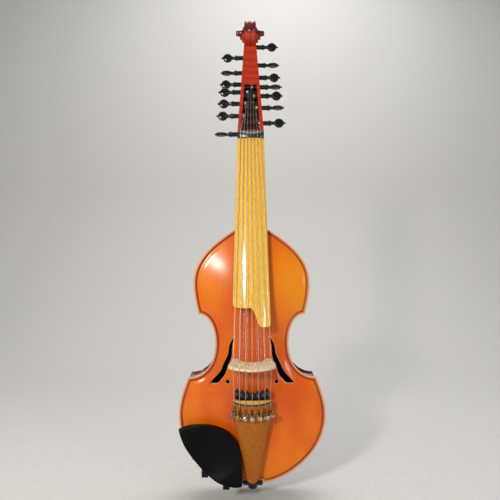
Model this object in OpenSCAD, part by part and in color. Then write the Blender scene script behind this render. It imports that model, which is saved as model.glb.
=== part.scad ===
// Viola d'amore: seven bowed strings over seven sympathetic strings.
// X runs across the body to the treble side, Z up the string line, and -Y out of the front.
// The origin is the middle of the end button's head.

/* [Body] */
// Height of the body's tail edge above the middle of the button's head
tail_h = 12; // [12:0.5:13]
// Length of the body
body_l = 400; // [396:1:404]
// Half width of the lower bout
lower_w = 115.6; // [112:0.2:118]
// Half width of the waist
waist_w = 58.2; // [56:0.2:60]
// Half width of the upper bout
upper_w = 93.5; // [90:0.5:96]
// Height of the ribs
rib_h = 42; // [40:1:44]
// Thickness of a plate at its edge
edge_t = 4.5; // [4:0.1:5]
// Thickness of a plate at its middle
plate_t = 3; // [2.5:0.1:3.5]
// Rise of the front's arch
front_arch = 14; // [12:0.5:15]
// Rise of the back's arch
back_arch = 13; // [11:0.5:15]
// Overhang of a plate past the ribs
overhang = 2.5; // [2:0.1:3]

/* [Neck and head] */
// Height of the nut's lower edge
nut_z = 564.7; // [563:0.1:566]
// Half width of the neck at the nut
neck_w = 22; // [21.5:0.1:22.5]
// Half width of the head where the front of the pegbox ends
head_w = 12; // [11.5:0.1:12.5]
// Height of the scroll's eye
eye_z = 762; // [761:0.5:763]
// Radius of the scroll's outer turn
scroll_r = 22; // [21:0.5:22.5]

/* [Strings] */
// Spacing of the bowed strings at the bridge
bridge_pitch = 9.45; // [9.2:0.05:9.5]
// Spacing of the bowed strings at the nut
nut_pitch = 5.6; // [5.4:0.05:5.7]
// Spacing of the sympathetic strings at the bridge
sympathetic_pitch = 7; // [6.5:0.1:7]
// Height of the bridge's string line
bridge_z = 195; // [194:0.5:196]
// Distance of the bridge's crown in front of the middle of the ribs
crown_y = 82; // [81:0.5:83]

/* [Fits] */
// Radial clearance of a turning fit
running = 0.05; // [0.02:0.01:0.1]

/* [Hidden] */
STRINGS = 7;
LAST = STRINGS - 1;
PEG_NODES = ["peg_bass_1", "peg_bass_2", "peg_bass_3", "peg_bass_4", "peg_bass_5", "peg_bass_6", "peg_bass_7",
    "peg_treble_1", "peg_treble_2", "peg_treble_3", "peg_treble_4", "peg_treble_5", "peg_treble_6",
    "peg_treble_7"];
SCREW_NODES = [for (i = [1:STRINGS]) str("tuner_screw_", i)];
LEVER_NODES = [for (i = [1:STRINGS]) str("tuner_lever_", i)];
KNOB_NODES = [for (i = [1:STRINGS]) str("sympathetic_knob_", i)];

half_rib = rib_h / 2;
edge_y = half_rib + edge_t;
top_z = tail_h + body_l;
lower_z = 107;
waist_z = 217;
upper_z = 313;
lower_corner = [101.4, 163.8];
upper_corner = [85.2, 262.7];

// ---------- curves ----------
function bezier(a, b, c, d, t) =
    pow(1 - t, 3) * a + 3 * t * pow(1 - t, 2) * b + 3 * t * t * (1 - t) * c + t * t * t * d;
function curve(a, b, c, d, n, first = 1) = [for (i = [first:n]) bezier(a, b, c, d, i / n)];
function mirrored(points) = [for (i = [len(points) - 1:-1:0]) [-points[i][0], points[i][1]]];
function unit(v) = v / norm(v);

// Treble half of the body's outline, [half width, height above the tail edge]
half_outline = concat(
    [[6, 0]],
    curve([0, 0], [50, 0], [lower_w, 45], [lower_w, lower_z], 12, 2),
    curve([lower_w, lower_z], [lower_w, 128], [107.5, 147], lower_corner, 6),
    curve(lower_corner, [78, lower_corner[1]], [waist_w, 182], [waist_w, waist_z], 9),
    curve([waist_w, waist_z], [waist_w, 240], [68, upper_corner[1]], upper_corner, 9),
    curve(upper_corner, [89.5, 279], [upper_w, 296], [upper_w, upper_z], 5),
    curve([upper_w, upper_z], [upper_w, 352], [62, 377], [29, 398], 10),
    [[22, body_l]]);

module outline() {
    translate([0, tail_h]) polygon(concat(half_outline, mirrored(half_outline)));
}
// A flat shape drawn in X and height, standing from front to back
module upright(from, to) {
    translate([0, to, 0]) rotate([90, 0, 0]) linear_extrude(to - from) children();
}
// A side profile of [y, height] points, as thick as wide across the middle
module profile(points, wide) {
    rotate([90, 0, 90]) translate([0, 0, -wide / 2]) linear_extrude(wide) polygon(points);
}
// A closed tube through rings, each [centre, across, out]
module tube(rings, r, n = 8) {
    m = len(rings);
    points = [for (g = rings) for (k = [0:n - 1])
        g[0] + r * (cos(k * 360 / n) * g[1] + sin(k * 360 / n) * g[2])];
    sides = [for (i = [0:m - 2]) for (k = [0:n - 1])
        each [[i * n + k, (i + 1) * n + k, (i + 1) * n + (k + 1) % n],
              [i * n + k, (i + 1) * n + (k + 1) % n, i * n + (k + 1) % n]]];
    caps = [[for (k = [0:n - 1]) k], [for (k = [n - 1:-1:0]) (m - 1) * n + k]];
    polyhedron(points, concat(sides, caps));
}
// A string runs up the instrument through points, with level rings
module string_line(points, r) {
    tube([for (p = points) [p, [1, 0, 0], [0, 1, 0]]], r);
}

// ---------- arching ----------
function width_at(h) = lookup(h, [for (p = half_outline) [p[1], p[0]]]);
function long_arch(h) = pow(max(0, 1 - pow(abs(2 * h / body_l - 1), 3)), 1.2);
function swell(f) = pow(1 - f * f, 1.35);
// Part of the arch's rise at a place, level from the edge in to margin
function rise(x, h, w, margin) =
    long_arch(h) * swell(min(1, abs(x) / (w - min(margin, w * 0.4))));
outer_margin = 6;
inner_margin = 11;
function front_y(x, h) = -(edge_y + front_arch * rise(x, h, width_at(h), outer_margin));
function inside_y(x, h, arch, margin = inner_margin) =
    half_rib + (arch + edge_t - plate_t) * rise(x, h, width_at(h), margin);

COLUMNS = [0, 0.17, 0.33, 0.5, 0.65, 0.8, 0.92, 1];
function column_x(w) = let (m = w - min(outer_margin, w * 0.4), side = concat([for (c = COLUMNS) c * m], [w]))
    concat([for (k = [len(side) - 1:-1:1]) -side[k]], side);

// An arched plate that bulges towards -Y, from rows of [half width, height above the tail edge]
module arched_plate(rows, arch) {
    n = 2 * len(COLUMNS) + 1;
    m = len(rows);
    outer = [for (p = rows) let (xs = column_x(p[0])) for (x = xs)
        [x, -(edge_y + arch * rise(x, p[1], p[0], outer_margin)), tail_h + p[1]]];
    inner = [for (p = rows) let (xs = column_x(p[0])) for (x = xs)
        [x, -(half_rib + (arch + edge_t - plate_t) * rise(x, p[1], p[0], inner_margin)), tail_h + p[1]]];
    in = n * m;
    front = [for (i = [0:m - 2]) for (k = [0:n - 2]) let (a = i * n + k)
        each [[a, a + n, a + n + 1], [a, a + n + 1, a + 1]]];
    back = [for (f = front) [f[2] + in, f[1] + in, f[0] + in]];
    ends = concat(
        [for (k = [0:n - 2]) each [[k, k + 1, in + k + 1], [k, in + k + 1, in + k]]],
        [for (k = [0:n - 2]) let (a = (m - 1) * n + k)
            each [[a, in + a, in + a + 1], [a, in + a + 1, a + 1]]]);
    sides = concat(
        [for (i = [0:m - 2]) let (a = i * n) each [[a, in + a, in + a + n], [a, in + a + n, a + n]]],
        [for (i = [0:m - 2]) let (a = i * n + n - 1) each [[a, in + a + n, in + a], [a, a + n, in + a + n]]]);
    polyhedron(concat(outer, inner), concat(front, back, ends, sides));
}

// ---------- sound box ----------
flame_hole = concat(
    curve([27.5, 228], [35, 219], [36.5, 212], [37, 204.7], 4, 0),
    curve([37, 204.7], [38, 196], [45, 188], [47.3, 178.8], 4),
    curve([47.3, 178.8], [49.5, 172], [58, 166], [66.3, 155.7], 4),
    curve([66.3, 155.7], [58, 155.6], [53, 155.6], [50.5, 159.5], 3),
    curve([50.5, 159.5], [48, 164], [43, 165], [39.8, 176.5], 3),
    curve([39.8, 176.5], [37, 187], [31.5, 192], [31.3, 204], 4),
    curve([31.3, 204], [31.2, 212], [30.5, 219], [27.5, 228], 3));
round_hole = [38, 158.7];
saddle_w = 15;
saddle_z = 18;

module top_plate() {
    color("#d9690c") difference() {
        arched_plate(half_outline, front_arch);
        for (side = [0, 1]) mirror([side, 0, 0]) upright(-60, 0) translate([0, tail_h]) {
            polygon(flame_hole);
            translate(round_hole) circle(r = 3, $fn = 32);
        }
        translate([-saddle_w, -40, 0]) cube([2 * saddle_w, 40, saddle_z]);
    }
}
button_rows = [[11, body_l + 0.5], [10.6, body_l + 4], [8.6, body_l + 8], [5, body_l + 10.5]];
module back_plate() {
    color("#8a2c12") mirror([0, 1, 0]) arched_plate(concat(half_outline, button_rows), back_arch);
}
rib_t = 1.2;
lining_w = 2.2;
lining_h = 7;
block_out = overhang + rib_t;
module inset(d) {
    offset(delta = -d) outline();
}
module block_zone() {
    translate([-28, top_z - 22]) square([56, 22]);
    translate([-24, 0]) square([48, tail_h + 20]);
    for (x = [-1, 1]) {
        translate([x * lower_corner[0], tail_h + lower_corner[1]]) circle(r = 23, $fn = 48);
        translate([x * upper_corner[0], tail_h + upper_corner[1]]) circle(r = 21, $fn = 48);
    }
}
module ribs() {
    color("#7a2410") difference() {
        upright(-half_rib, half_rib) difference() {
            inset(overhang);
            inset(block_out);
        }
        translate([0, 0, tail_h]) cylinder(r = 4, h = 10, $fn = 48);
    }
}
module linings() {
    color("#d8b27a") for (at = [-half_rib, half_rib - lining_h]) upright(at, at + lining_h) difference() {
        inset(block_out);
        inset(block_out + lining_w);
        block_zone();
    }
}
module blocks() {
    color("#d8b27a") difference() {
        upright(-half_rib, half_rib) intersection() {
            inset(block_out);
            block_zone();
        }
        translate([0, 0, tail_h]) cylinder(r = 4, h = 24, $fn = 48);
    }
}
bar_x = -24;
bar_w = 5;
// Room between the bar and the plate's facets
bar_gap = 0.4;
module bass_bar() {
    bottom = 88;
    top = 332;
    under = [for (h = [bottom:20.3:top])
        [-inside_y(bar_x - bar_w / 2, h, front_arch) + bar_gap, tail_h + h]];
    bow = curve([-29, tail_h + top], [-20, tail_h + 290], [-20, tail_h + 130],
        [-29, tail_h + bottom], 10);
    color("#e0bd86") translate([bar_x, 0, 0]) profile(concat(under, bow), bar_w);
}
post = [21, 192];
post_r = 3;
module sound_post() {
    front = inside_y(post[0] + post_r, post[1] - tail_h, front_arch) - 0.25;
    back = inside_y(post[0] + post_r, post[1] - tail_h, back_arch) - 0.25;
    color("#e8c894") translate([post[0], back, post[1]]) rotate([90, 0, 0])
        cylinder(r = post_r, h = front + back, $fn = 48);
}
module purfling() {
    color("#241008") for (at = [-edge_y - 0.05, edge_y - 1.35]) upright(at, at + 1.4) difference() {
        inset(4);
        inset(5.2);
        translate([-30, top_z - 20]) square([60, 40]);
        translate([-saddle_w - 0.2, 0]) square([2 * saddle_w + 0.4, saddle_z + 0.2]);
    }
}

// ---------- neck and head ----------
board_slope = 0.119;
neck_top_y = -14.7;
nut_top = nut_z + 13.3;
function board_under(z) = neck_top_y - board_slope * (nut_z - 1.7 - z);
function head_front(z) = -18 + 0.16 * (z - 577);
function head_half(z) = neck_w - (neck_w - head_w) * (z - 577) / 147;
eye_y = 6.5;
throat_z = eye_z - 20;
closed_z = 665;
cheek = 5.5;
lid = 5;
// Side line of the head's back, ending a little inside the scroll's outer turn
head_back = curve([11, 572], [15, 620], [31, 680], [eye_y + scroll_r - 1.6, eye_z + 6], 10, 0);
neck_side = concat(
    [[board_under(412.2), 412.2], [board_under(nut_z), nut_z], [-15, nut_z], [-15, 577],
     [head_front(577), 577], [head_front(throat_z + 6), throat_z + 6], [eye_y, eye_z]],
    [for (i = [len(head_back) - 1:-1:0]) head_back[i]],
    curve([11, 572], [7, 563], [-1.7, 562], [-2.6, 548], 5),
    curve([-17.9, 440], [-16.5, 427], [6, 428], [half_rib - 0.1, 423], 8, 0),
    [[half_rib - 0.1, 409.7], [0.1 - half_rib, 409.7], [0.1 - half_rib, 412.2]]);

module neck_plan() {
    polygon([[-25, 400], [25, 400], [neck_w, 577], [head_half(eye_z + 30), eye_z + 30],
        [-head_half(eye_z + 30), eye_z + 30], [-neck_w, 577]]);
}
module heel_section() {
    translate([0, 0, 400]) linear_extrude(40) polygon([[-25, -40], [25, -40], [11, 24], [-11, 24]]);
}
// The handle's round back is part of a cone that leans with the neck
module handle_round() {
    translate([0, -48, 432]) rotate([-atan(21.2 / 131), 0, 0]) translate([0, 0, -4])
        cylinder(r1 = 30.5, r2 = 24.9, h = 142, $fn = 96);
}
module head_solid() {
    intersection() {
        profile(neck_side, 60);
        upright(-60, 60) neck_plan();
        union() {
            handle_round();
            heel_section();
            translate([-30, -60, 562]) cube([60, 120, 240]);
        }
    }
    for (turn = [[scroll_r, head_half(eye_z)], [15.5, 14], [10.5, 18], [6.5, 25]])
        translate([-turn[1], eye_y, eye_z]) rotate([0, 90, 0])
            cylinder(r = turn[0], h = 2 * turn[1], $fn = 96);
}
// Room for the strings inside the head, open in front up to closed_z
cavity_side = concat(
    [[-40, 563.3], [-9.5, 563.3], [5.5, 577]],
    [for (i = [2:8]) head_back[i] - [5, 0]],
    [[23, 752], [13, 752], [head_front(724) + lid, 724], [head_front(closed_z) + lid, closed_z],
     [-40, closed_z - 1]]);
module cavity() {
    intersection() {
        profile(cavity_side, 60);
        upright(-60, 60) difference() {
            offset(delta = -cheek) neck_plan();
            translate([-30, 752]) square([60, 60]);
        }
    }
}
module sympathetic_channel() {
    profile([[-60, 404], [-27.4, 404], [-11.1, 563.2], [-11.1, 564], [-60, 564]], 30);
}

// ---------- pegs ----------
// Each peg: [height, depth behind the pegbox's front, turn of its head]
BASS_PEGS = [[720.5, 7.9, 0], [695.5, 17, 90], [672.8, 17, 0], [653.5, 8, 0], [631.5, 8, 0], [608.5, 8, 0],
    [574.8, 8.2, 90]];
TREBLE_PEGS = [[741.9, 7.9, 0], [710.6, 17, 90], [686, 17, 0], [663, 8, 90], [646, 8, 0], [623.5, 8, 90],
    [595, 8, 0]];
function peg_at(p) = [0, head_front(p[0]) + p[1], p[0]];
function peg_r(x) = 3.5 + 0.018 * x;
module peg_taper(from, to, extra = 0) {
    translate([from, 0, 0]) rotate([0, 90, 0])
        cylinder(r1 = peg_r(from) + extra, r2 = peg_r(to) + extra, h = to - from, $fn = 64);
}
module along_x(from, to, r1, r2) {
    translate([from, 0, 0]) rotate([0, 90, 0]) cylinder(r1 = r1, r2 = r2, h = to - from, $fn = 64);
}
module peg(p, side) {
    w = head_half(p[0]);
    mid = w + 27.5;
    color("#141212") translate(peg_at(p)) rotate([0, 0, side > 0 ? 0 : 180]) {
        peg_taper(-w + 0.6, w + 11);
        along_x(w + 11, w + 13, 5, 4.6);
        along_x(w + 13, w + 21, 4.1, 2.8);
        rotate([p[2], 0, 0]) {
            intersection() {
                translate([mid, 3.2, 0]) rotate([90, 0, 0]) cylinder(r = 8.2, h = 6.4, $fn = 64);
                translate([mid, 0, 0]) sphere(r = 8.5, $fn = 64);
            }
            translate([mid + 8.6, 0, 0]) sphere(r = 2, $fn = 32);
        }
    }
}
module neck() {
    color("#a8380e") difference() {
        head_solid();
        cavity();
        sympathetic_channel();
        for (p = BASS_PEGS) translate(peg_at(p)) rotate([0, 0, 180]) peg_taper(-30, 30, running);
        for (p = TREBLE_PEGS) translate(peg_at(p)) peg_taper(-30, 30, running);
    }
}

// ---------- fingerboard and nut ----------
camber_r = 55;
board_y = -24.4;
crown_slope = 0.132;
board_end = 257;
board_w = 29.5;
function board_crown(z) = board_y - crown_slope * (nut_z - 1.7 - z);
// A cylinder of radius r whose line at distance camber_r in front of its axis is the crown
module board_round(r, from, to) {
    len = (to - from) * sqrt(1 + crown_slope * crown_slope);
    translate([0, board_crown(from) + camber_r * sqrt(1 + crown_slope * crown_slope), from])
        rotate([-atan(crown_slope), 0, 0]) cylinder(r = r, h = len, $fn = 96);
}
module fingerboard() {
    plan = concat(
        [[-neck_w, nut_z - 0.1], [-board_w, 293]],
        curve([-board_w + 0.5, 291], [-22, 286.5], [-12, 285.5], [-3, 286], 4, 0),
        curve([-3, 286], [6, 286], [7, 259], [15, board_end], 6),
        [[24, board_end], [28, 259.5], [29, 263], [neck_w, nut_z - 0.1]]);
    color("#e8b24a") difference() {
        intersection() {
            profile([[board_crown(240), 240], [board_under(240) - 0.02, 240],
                [board_under(nut_z) - 0.02, nut_z], [board_crown(nut_z), nut_z]], 70);
            upright(-90, 0) polygon(plan);
            board_round(camber_r, 200, 620);
        }
        board_round(camber_r - 7, 200, 402);
    }
}
nut_crown = board_y - 1.9;
nut_crown_r = 50;
// The nut's top is flat for nut_flat, then falls to nut_back at its upper edge
nut_flat = 5;
nut_back = head_front(577) - 2;
module nut() {
    color("#1c1614") intersection() {
        profile([[-15, nut_z], [-15, 576.98], [head_front(577) - 0.02, 576.98], [nut_back, nut_top],
            [nut_crown, nut_z + nut_flat], [nut_crown, nut_z]], 60);
        upright(-60, 0) translate([-neck_w + 0.1, 540]) square([2 * neck_w - 0.2, 60]);
        translate([0, nut_crown + nut_crown_r, 540]) cylinder(r = nut_crown_r, h = 60, $fn = 96);
    }
}

// ---------- bridge ----------
crown_r = 44;
function crown_at(x) = -crown_y + crown_r - sqrt(crown_r * crown_r - x * x);
function foot_y(x) = front_y(x, 191) - 0.25;
// Heights of the bridge's two faces at depth y
function bridge_high(y) = 208 + 0.2 * (y + 30);
function bridge_low(y) = 199.2 + 0.1017 * (y + 30);
sympathetic_y = -57;
// Round holes through the bridge: [across, front to back]
BRIDGE_HOLES = [[-19.5, -66.5], [-6.5, -68.5], [6.5, -68.5], [19.5, -66.5]];
module bridge() {
    half = concat(
        [for (x = [0:6:36]) [x, crown_at(x)]],
        [[36, crown_at(36) + 4], [33, -48], [31.5, -42], [31.5, foot_y(31.5)], [18.5, foot_y(18.5)]],
        curve([18, -41], [15, -43], [12, -47.5], [0, -47.5], 5));
    color("#ead0a2") difference() {
        intersection() {
            translate([0, 0, 180]) linear_extrude(40) polygon(concat(half, mirrored(half)));
            profile([for (y = [-30, -90]) [y, bridge_high(y)], for (y = [-90, -30]) [y, bridge_low(y)]], 90);
        }
        for (i = [0:LAST]) translate([(i - LAST / 2) * sympathetic_pitch, sympathetic_y, 170])
            cylinder(r = 0.9, h = 60, $fn = 24);
        for (hole = BRIDGE_HOLES) translate([hole[0], hole[1], 170]) cylinder(r = 3.2, h = 60, $fn = 32);
    }
}

// ---------- tail ----------
tail_slope = 0.223;
tail_r = 42;
tail_t = 5;
tail_top = 148;
tail_tilt = atan(tail_slope);
tail_crown = -66;
FAN = 13;
// Children are drawn round the tailpiece's own axis: Z up the tailpiece, -Y out of its crown,
// with Z measured from its top edge, turned to string i
module at_tail(i = LAST / 2) {
    translate([0, tail_crown, tail_top]) rotate([tail_tilt, 0, 0]) translate([0, tail_r, 0])
        rotate([0, 0, (i - LAST / 2) * FAN]) children();
}
// A point on the tailpiece's axes, at radius r, height z from its top edge and string i
function tail_point(r, z, i) = let (a = (i - LAST / 2) * FAN, y = tail_r - r * cos(a),
    c = cos(tail_tilt), s = sin(tail_tilt))
    [r * sin(a), tail_crown + y * c - z * s, tail_top + y * s + z * c];
module ring_part(r1, r2, z1, z2, reach = 49) {
    translate([0, 0, z1]) rotate([0, 0, -90 - reach]) rotate_extrude(angle = 2 * reach, $fn = 96)
        translate([r1, 0]) square([r2 - r1, z2 - z1]);
}
screw_z = -24;
slot_top = -13;
module tailpiece() {
    half = concat(
        [[0, tail_top + 1], [14, tail_top + 0.5], [31, tail_top - 1.5], [31.5, tail_top - 6], [28, 114],
         [24.5, 101], [21.3, 84], [17.2, 62], [13.2, 40]],
        curve([13.2, 40], [11.5, 27], [9, 18], [0, 17.5], 6));
    color("#b0741c") difference() {
        intersection() {
            upright(-90, -20) polygon(concat(half, mirrored(half)));
            at_tail() difference() {
                translate([0, 0, -160]) cylinder(r = tail_r, h = 200, $fn = 96);
                translate([0, 0, -170]) cylinder(r = tail_r - tail_t, h = 220, $fn = 96);
            }
        }
        for (i = [0:LAST]) at_tail(i) {
            translate([-1.3, -tail_r - 5, -28]) cube([2.6, 12, 28 + slot_top]);
            translate([0, -tail_r - 5, screw_z]) rotate([-90, 0, 0]) cylinder(r = 1.9, h = 12, $fn = 32);
        }
        for (x = [-4, 4]) translate([x, -20, 35]) rotate([90, 0, 0]) cylinder(r = 1.2, h = 18.6, $fn = 24);
    }
}
fret_r = tail_r + 1.3;
fret_z = -6.2;
module tailpiece_fret() {
    color("#1c1614") at_tail() ring_part(tail_r + 0.02, fret_r, fret_z - 1, fret_z + 1, 45);
}
rail_r = 36;
module sympathetic_rail() {
    color("#9a9488") {
        for (i = [0:LAST]) at_tail(i) translate([0, -rail_r, 3]) cylinder(r = 1.2, h = 11, $fn = 32);
        at_tail() ring_part(33.5, tail_r - tail_t - 0.05, -3, 3.2, 45);
    }
}
knob_r = 3.9;
module sympathetic_knob() {
    color("#0e0d10") translate([0, -rail_r, 0]) difference() {
        intersection() {
            translate([0, 0, 3.5]) cylinder(r = knob_r, h = 7.6, $fn = 64);
            translate([0, 0, 7.3]) sphere(r = 4.6, $fn = 64);
        }
        translate([0, 0, -5]) cylinder(r = 1.2 + running, h = 30, $fn = 32);
    }
}
pivot_r = 33.6;
pivot_z = -19.5;
pin_r = 0.8;
screw_rod_r = 1.4;
module tuner_frames() {
    color("#b9b4a6") for (i = [0:LAST]) at_tail(i) {
        difference() {
            translate([-3.1, -tail_r - 3.6, screw_z - 4.2]) cube([6.2, 3.6, 8.8]);
            translate([0, -tail_r - 10, screw_z]) rotate([-90, 0, 0])
                cylinder(r = screw_rod_r + running, h = 20, $fn = 32);
            translate([-1.25, -tail_r - 10, -21.2]) cube([2.5, 20, 6]);
        }
        translate([-1.15, -tail_r - 1, -22.4]) cube([2.3, 6.5, 1.2]);
        translate([-3.1, -tail_r + tail_t + 0.1, -22.4]) cube([6.2, 1.4, 1.4]);
        for (x = [-3.1, 2]) translate([x, -tail_r + tail_t + 0.1, -21.2]) cube([1.1, 4.6, 3.6]);
        translate([-3.1, -pivot_r, pivot_z]) rotate([0, 90, 0]) cylinder(r = pin_r, h = 6.2, $fn = 32);
    }
}
module tuner_screw() {
    color("#cfc9b8") translate([0, 0, screw_z]) rotate([90, 0, 0]) {
        translate([0, 0, 35.4]) cylinder(r = screw_rod_r, h = 15, $fn = 32);
        translate([0, 0, tail_r + 6.8]) cylinder(r = 3.6, h = 3, $fn = 64);
        translate([0, 0, tail_r + 9.8]) cylinder(r1 = 3.4, r2 = 2.6, h = 0.8, $fn = 64);
    }
}
module tuner_lever() {
    out = tail_r + 1.3;
    color("#c7a048") difference() {
        union() {
            rotate([90, 0, 90]) translate([0, 0, -0.9]) linear_extrude(1.8) polygon([
                [-pivot_r - 1.2, -26.5], [-pivot_r + 0.4, -26.5], [-pivot_r + 1.8, -20],
                [-pivot_r + 1.8, -17.6], [-pivot_r - 2, -16.6], [-tail_r, -16.6], [-out, -17.4],
                [-out, -18.8], [-pivot_r - 2.4, -18.9], [-pivot_r - 1.7, -21]]);
            translate([-1.8, -pivot_r, pivot_z]) rotate([0, 90, 0]) cylinder(r = 1.8, h = 3.6, $fn = 32);
        }
        translate([-4, -pivot_r, pivot_z]) rotate([0, 90, 0]) cylinder(r = pin_r + running, h = 8, $fn = 32);
    }
}

// ---------- strings ----------
PLAY_PEGS = [BASS_PEGS[5], BASS_PEGS[4], BASS_PEGS[3], TREBLE_PEGS[3], TREBLE_PEGS[4], TREBLE_PEGS[5],
    TREBLE_PEGS[6]];
PLAY_X = [-10.5, -7, -3.5, 0.5, 4.5, 8.5, 12.5];
SYMPATHETIC_PEGS = [BASS_PEGS[6], BASS_PEGS[2], BASS_PEGS[1], BASS_PEGS[0], TREBLE_PEGS[0], TREBLE_PEGS[1],
    TREBLE_PEGS[2]];
SYMPATHETIC_X = [-9, -5.5, -3.4, -1.6, 1.2, 3, 5];
string_r = 0.4;
thin_r = 0.25;
// Gap between a string and what it rests on
touch = 0.05;
function nut_y(x) =
    nut_crown + nut_crown_r - sqrt(nut_crown_r * nut_crown_r - x * x) - string_r - touch;
// Height at which the nut's fall starts under a string that is x off the middle
function nut_fall(x) = nut_z + nut_flat
    + (nut_y(x) + string_r - nut_crown) * (nut_top - nut_z - nut_flat) / (nut_back - nut_crown);
module playing_strings() {
    color("#d8d2c4") for (i = [0:LAST]) {
        x = (i - LAST / 2) * bridge_pitch;
        nx = (i - LAST / 2) * nut_pitch;
        p = peg_at(PLAY_PEGS[i]);
        string_line([
            tail_point(fret_r + string_r + touch, slot_top - 4, i),
            tail_point(fret_r + string_r + touch, fret_z, i),
            [x, crown_at(x) - string_r - touch, bridge_low(crown_at(x)) - 4 * touch],
            [x, crown_at(x) - string_r - touch, bridge_high(crown_at(x)) + 4 * touch],
            [nx, nut_y(nx), nut_z],
            [nx, nut_y(nx) - 3 * touch, nut_fall(nx)],
            [nx, nut_back - string_r - 5 * touch, nut_top + 0.2],
            [PLAY_X[i], p[1] - peg_r(0) - string_r - 0.4, p[2]]], string_r);
    }
}
module sympathetic_strings() {
    color("#d8d2c4") for (i = [0:LAST]) {
        x = (i - LAST / 2) * sympathetic_pitch;
        p = peg_at(SYMPATHETIC_PEGS[i]);
        behind = i == 0 || i == 3 || i == 4;
        string_line(concat([
            tail_point(rail_r, 14.2, i),
            [x, sympathetic_y, bridge_z + 4.5],
            [(i - LAST / 2) * 2.9, -11.5, 563]],
            [[SYMPATHETIC_X[i], -5.2, 572]],
            [[SYMPATHETIC_X[i], p[1] + (behind ? 1 : -1) * (peg_r(0) + thin_r + 0.35), p[2]]]), thin_r);
    }
}

// ---------- tail fittings ----------
module saddle() {
    color("#1c1614") intersection() {
        profile([[-half_rib - 0.05, 12.1], [-28, 12.1], [-29.5, 14], [-29.5, 16], [-28, saddle_z - 0.1],
            [-half_rib - 0.05, saddle_z - 0.1]], 40);
        upright(-60, 0) translate([-saddle_w + 0.1, 0]) square([2 * saddle_w - 0.2, 40]);
    }
}
rib_bottom = tail_h + overhang;
button_r = 7.5;
module end_button() {
    color("#1c1614") rotate_extrude($fn = 96) polygon([
        [0, -4], [4, -3.8], [6.4, -3], [button_r, -2], [button_r, 2], [6.6, 3.6], [5, 4.6], [5, 8.8],
        [6.2, 10],
        [6.8, rib_bottom - 0.5], [6.2, rib_bottom - 0.05], [4, rib_bottom - 0.05], [3.95, 34], [0, 34]]);
}
gut_r = 0.9;
gut_loop = 5 + gut_r + 0.12;
gut_loop_z = 7.8;
// One half of the cord: out of a blind hole in the tailpiece, under its tip, over the saddle and to the button
GUT_PATH = [[4, -38.4, 35], [4, -34, 35], [4, -33.2, 33.6], [4, -30.9, 20], [4, -30.45, 17],
    [4, -30.45, 13.2], [4.1, -29, 10.7], [4.6, -18, 9], [gut_loop, 0, gut_loop_z]];
module tail_gut() {
    n = len(GUT_PATH);
    strand = [for (i = [0:n - 2]) let (t = unit(GUT_PATH[min(i + 1, n - 1)] - GUT_PATH[max(i - 1, 0)]))
        [GUT_PATH[i], [1, 0, 0], unit(cross(t, [1, 0, 0]))]];
    loop = [for (a = [0:20:180])
        [[gut_loop * cos(a), gut_loop * sin(a), gut_loop_z], [cos(a), sin(a), 0], [0, 0, -1]]];
    other = [for (i = [n - 2:-1:0]) let (p = strand[i][0]) [[-p[0], p[1], p[2]], [-1, 0, 0], strand[i][2]]];
    color("#2a2622") tube(concat(strand, loop, other), gut_r);
}

// ---------- chin rest ----------
cup_outline = concat(
    curve([-112, 91], [-95, 100], [-60, 101], [-40, 88], 7, 0),
    curve([-40, 88], [-25, 77], [-18, 60], [-17, 42], 5),
    curve([-17, 42], [-16, 28], [-14, 14], [-16, 8], 3),
    curve([-16, 8], [-20, 4], [-40, 6], [-54, 14], 4),
    curve([-54, 14], [-80, 28], [-106, 62], [-112, 91], 7));
// Clamp posts stand just off the edge of the body: [x, height above the tail edge]
POSTS = [[-40, 3.4], [-72.6, 21.3]];
cup_front = -53;
rod_r = 1.9;
// How far the clamp's plates reach in from its posts
clamp_reach = 9;
module clamp_plate(extra = 0) {
    translate([-5 - extra, -44 - extra, -3 - extra])
        cube([10 + 2 * extra, 3 + 2 * extra, clamp_reach + 3 + 2 * extra]);
}
module chin_rest() {
    color("#141212") difference() {
        union() {
            upright(cup_front, -41) translate([0, tail_h]) polygon(cup_outline);
            upright(-42, -edge_y - 1.1) translate([0, tail_h]) intersection() {
                polygon(cup_outline);
                translate([0, -tail_h]) difference() {
                    inset(0.6);
                    inset(6);
                }
                translate([-78, 0]) square([44, 50]);
            }
        }
        translate([-62, cup_front - 108, tail_h + 56]) sphere(r = 116, $fn = 240);
        for (p = POSTS) translate([p[0], 0, tail_h + p[1]]) clamp_plate(touch);
    }
}
module post_rod(from, to) {
    translate([0, to, 0]) rotate([90, 0, 0]) cylinder(r = rod_r, h = to - from, $fn = 48);
}
module chin_rest_clamp() {
    color("#b9b4a6") for (p = POSTS) translate([p[0], 0, tail_h + p[1]]) {
        post_rod(-42, -2);
        post_rod(2, edge_y + 4);
        clamp_plate();
        translate([-5, edge_y + 1.5, -3]) cube([10, 2.5, clamp_reach + 2]);
    }
    color("#c89a62") for (p = POSTS) translate([p[0], 0, tail_h + p[1]])
        translate([-5, edge_y + 0.2, 4.5]) cube([10, 1.3, clamp_reach - 5.5]);
}
module chin_rest_barrel(p) {
    color("#c7c2b4") translate([p[0], 15, tail_h + p[1]]) rotate([90, 0, 0]) difference() {
        cylinder(r = 3.4, h = 30, $fn = 64);
        translate([0, 0, -1]) cylinder(r = rod_r + running, h = 32, $fn = 48);
    }
}

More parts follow.
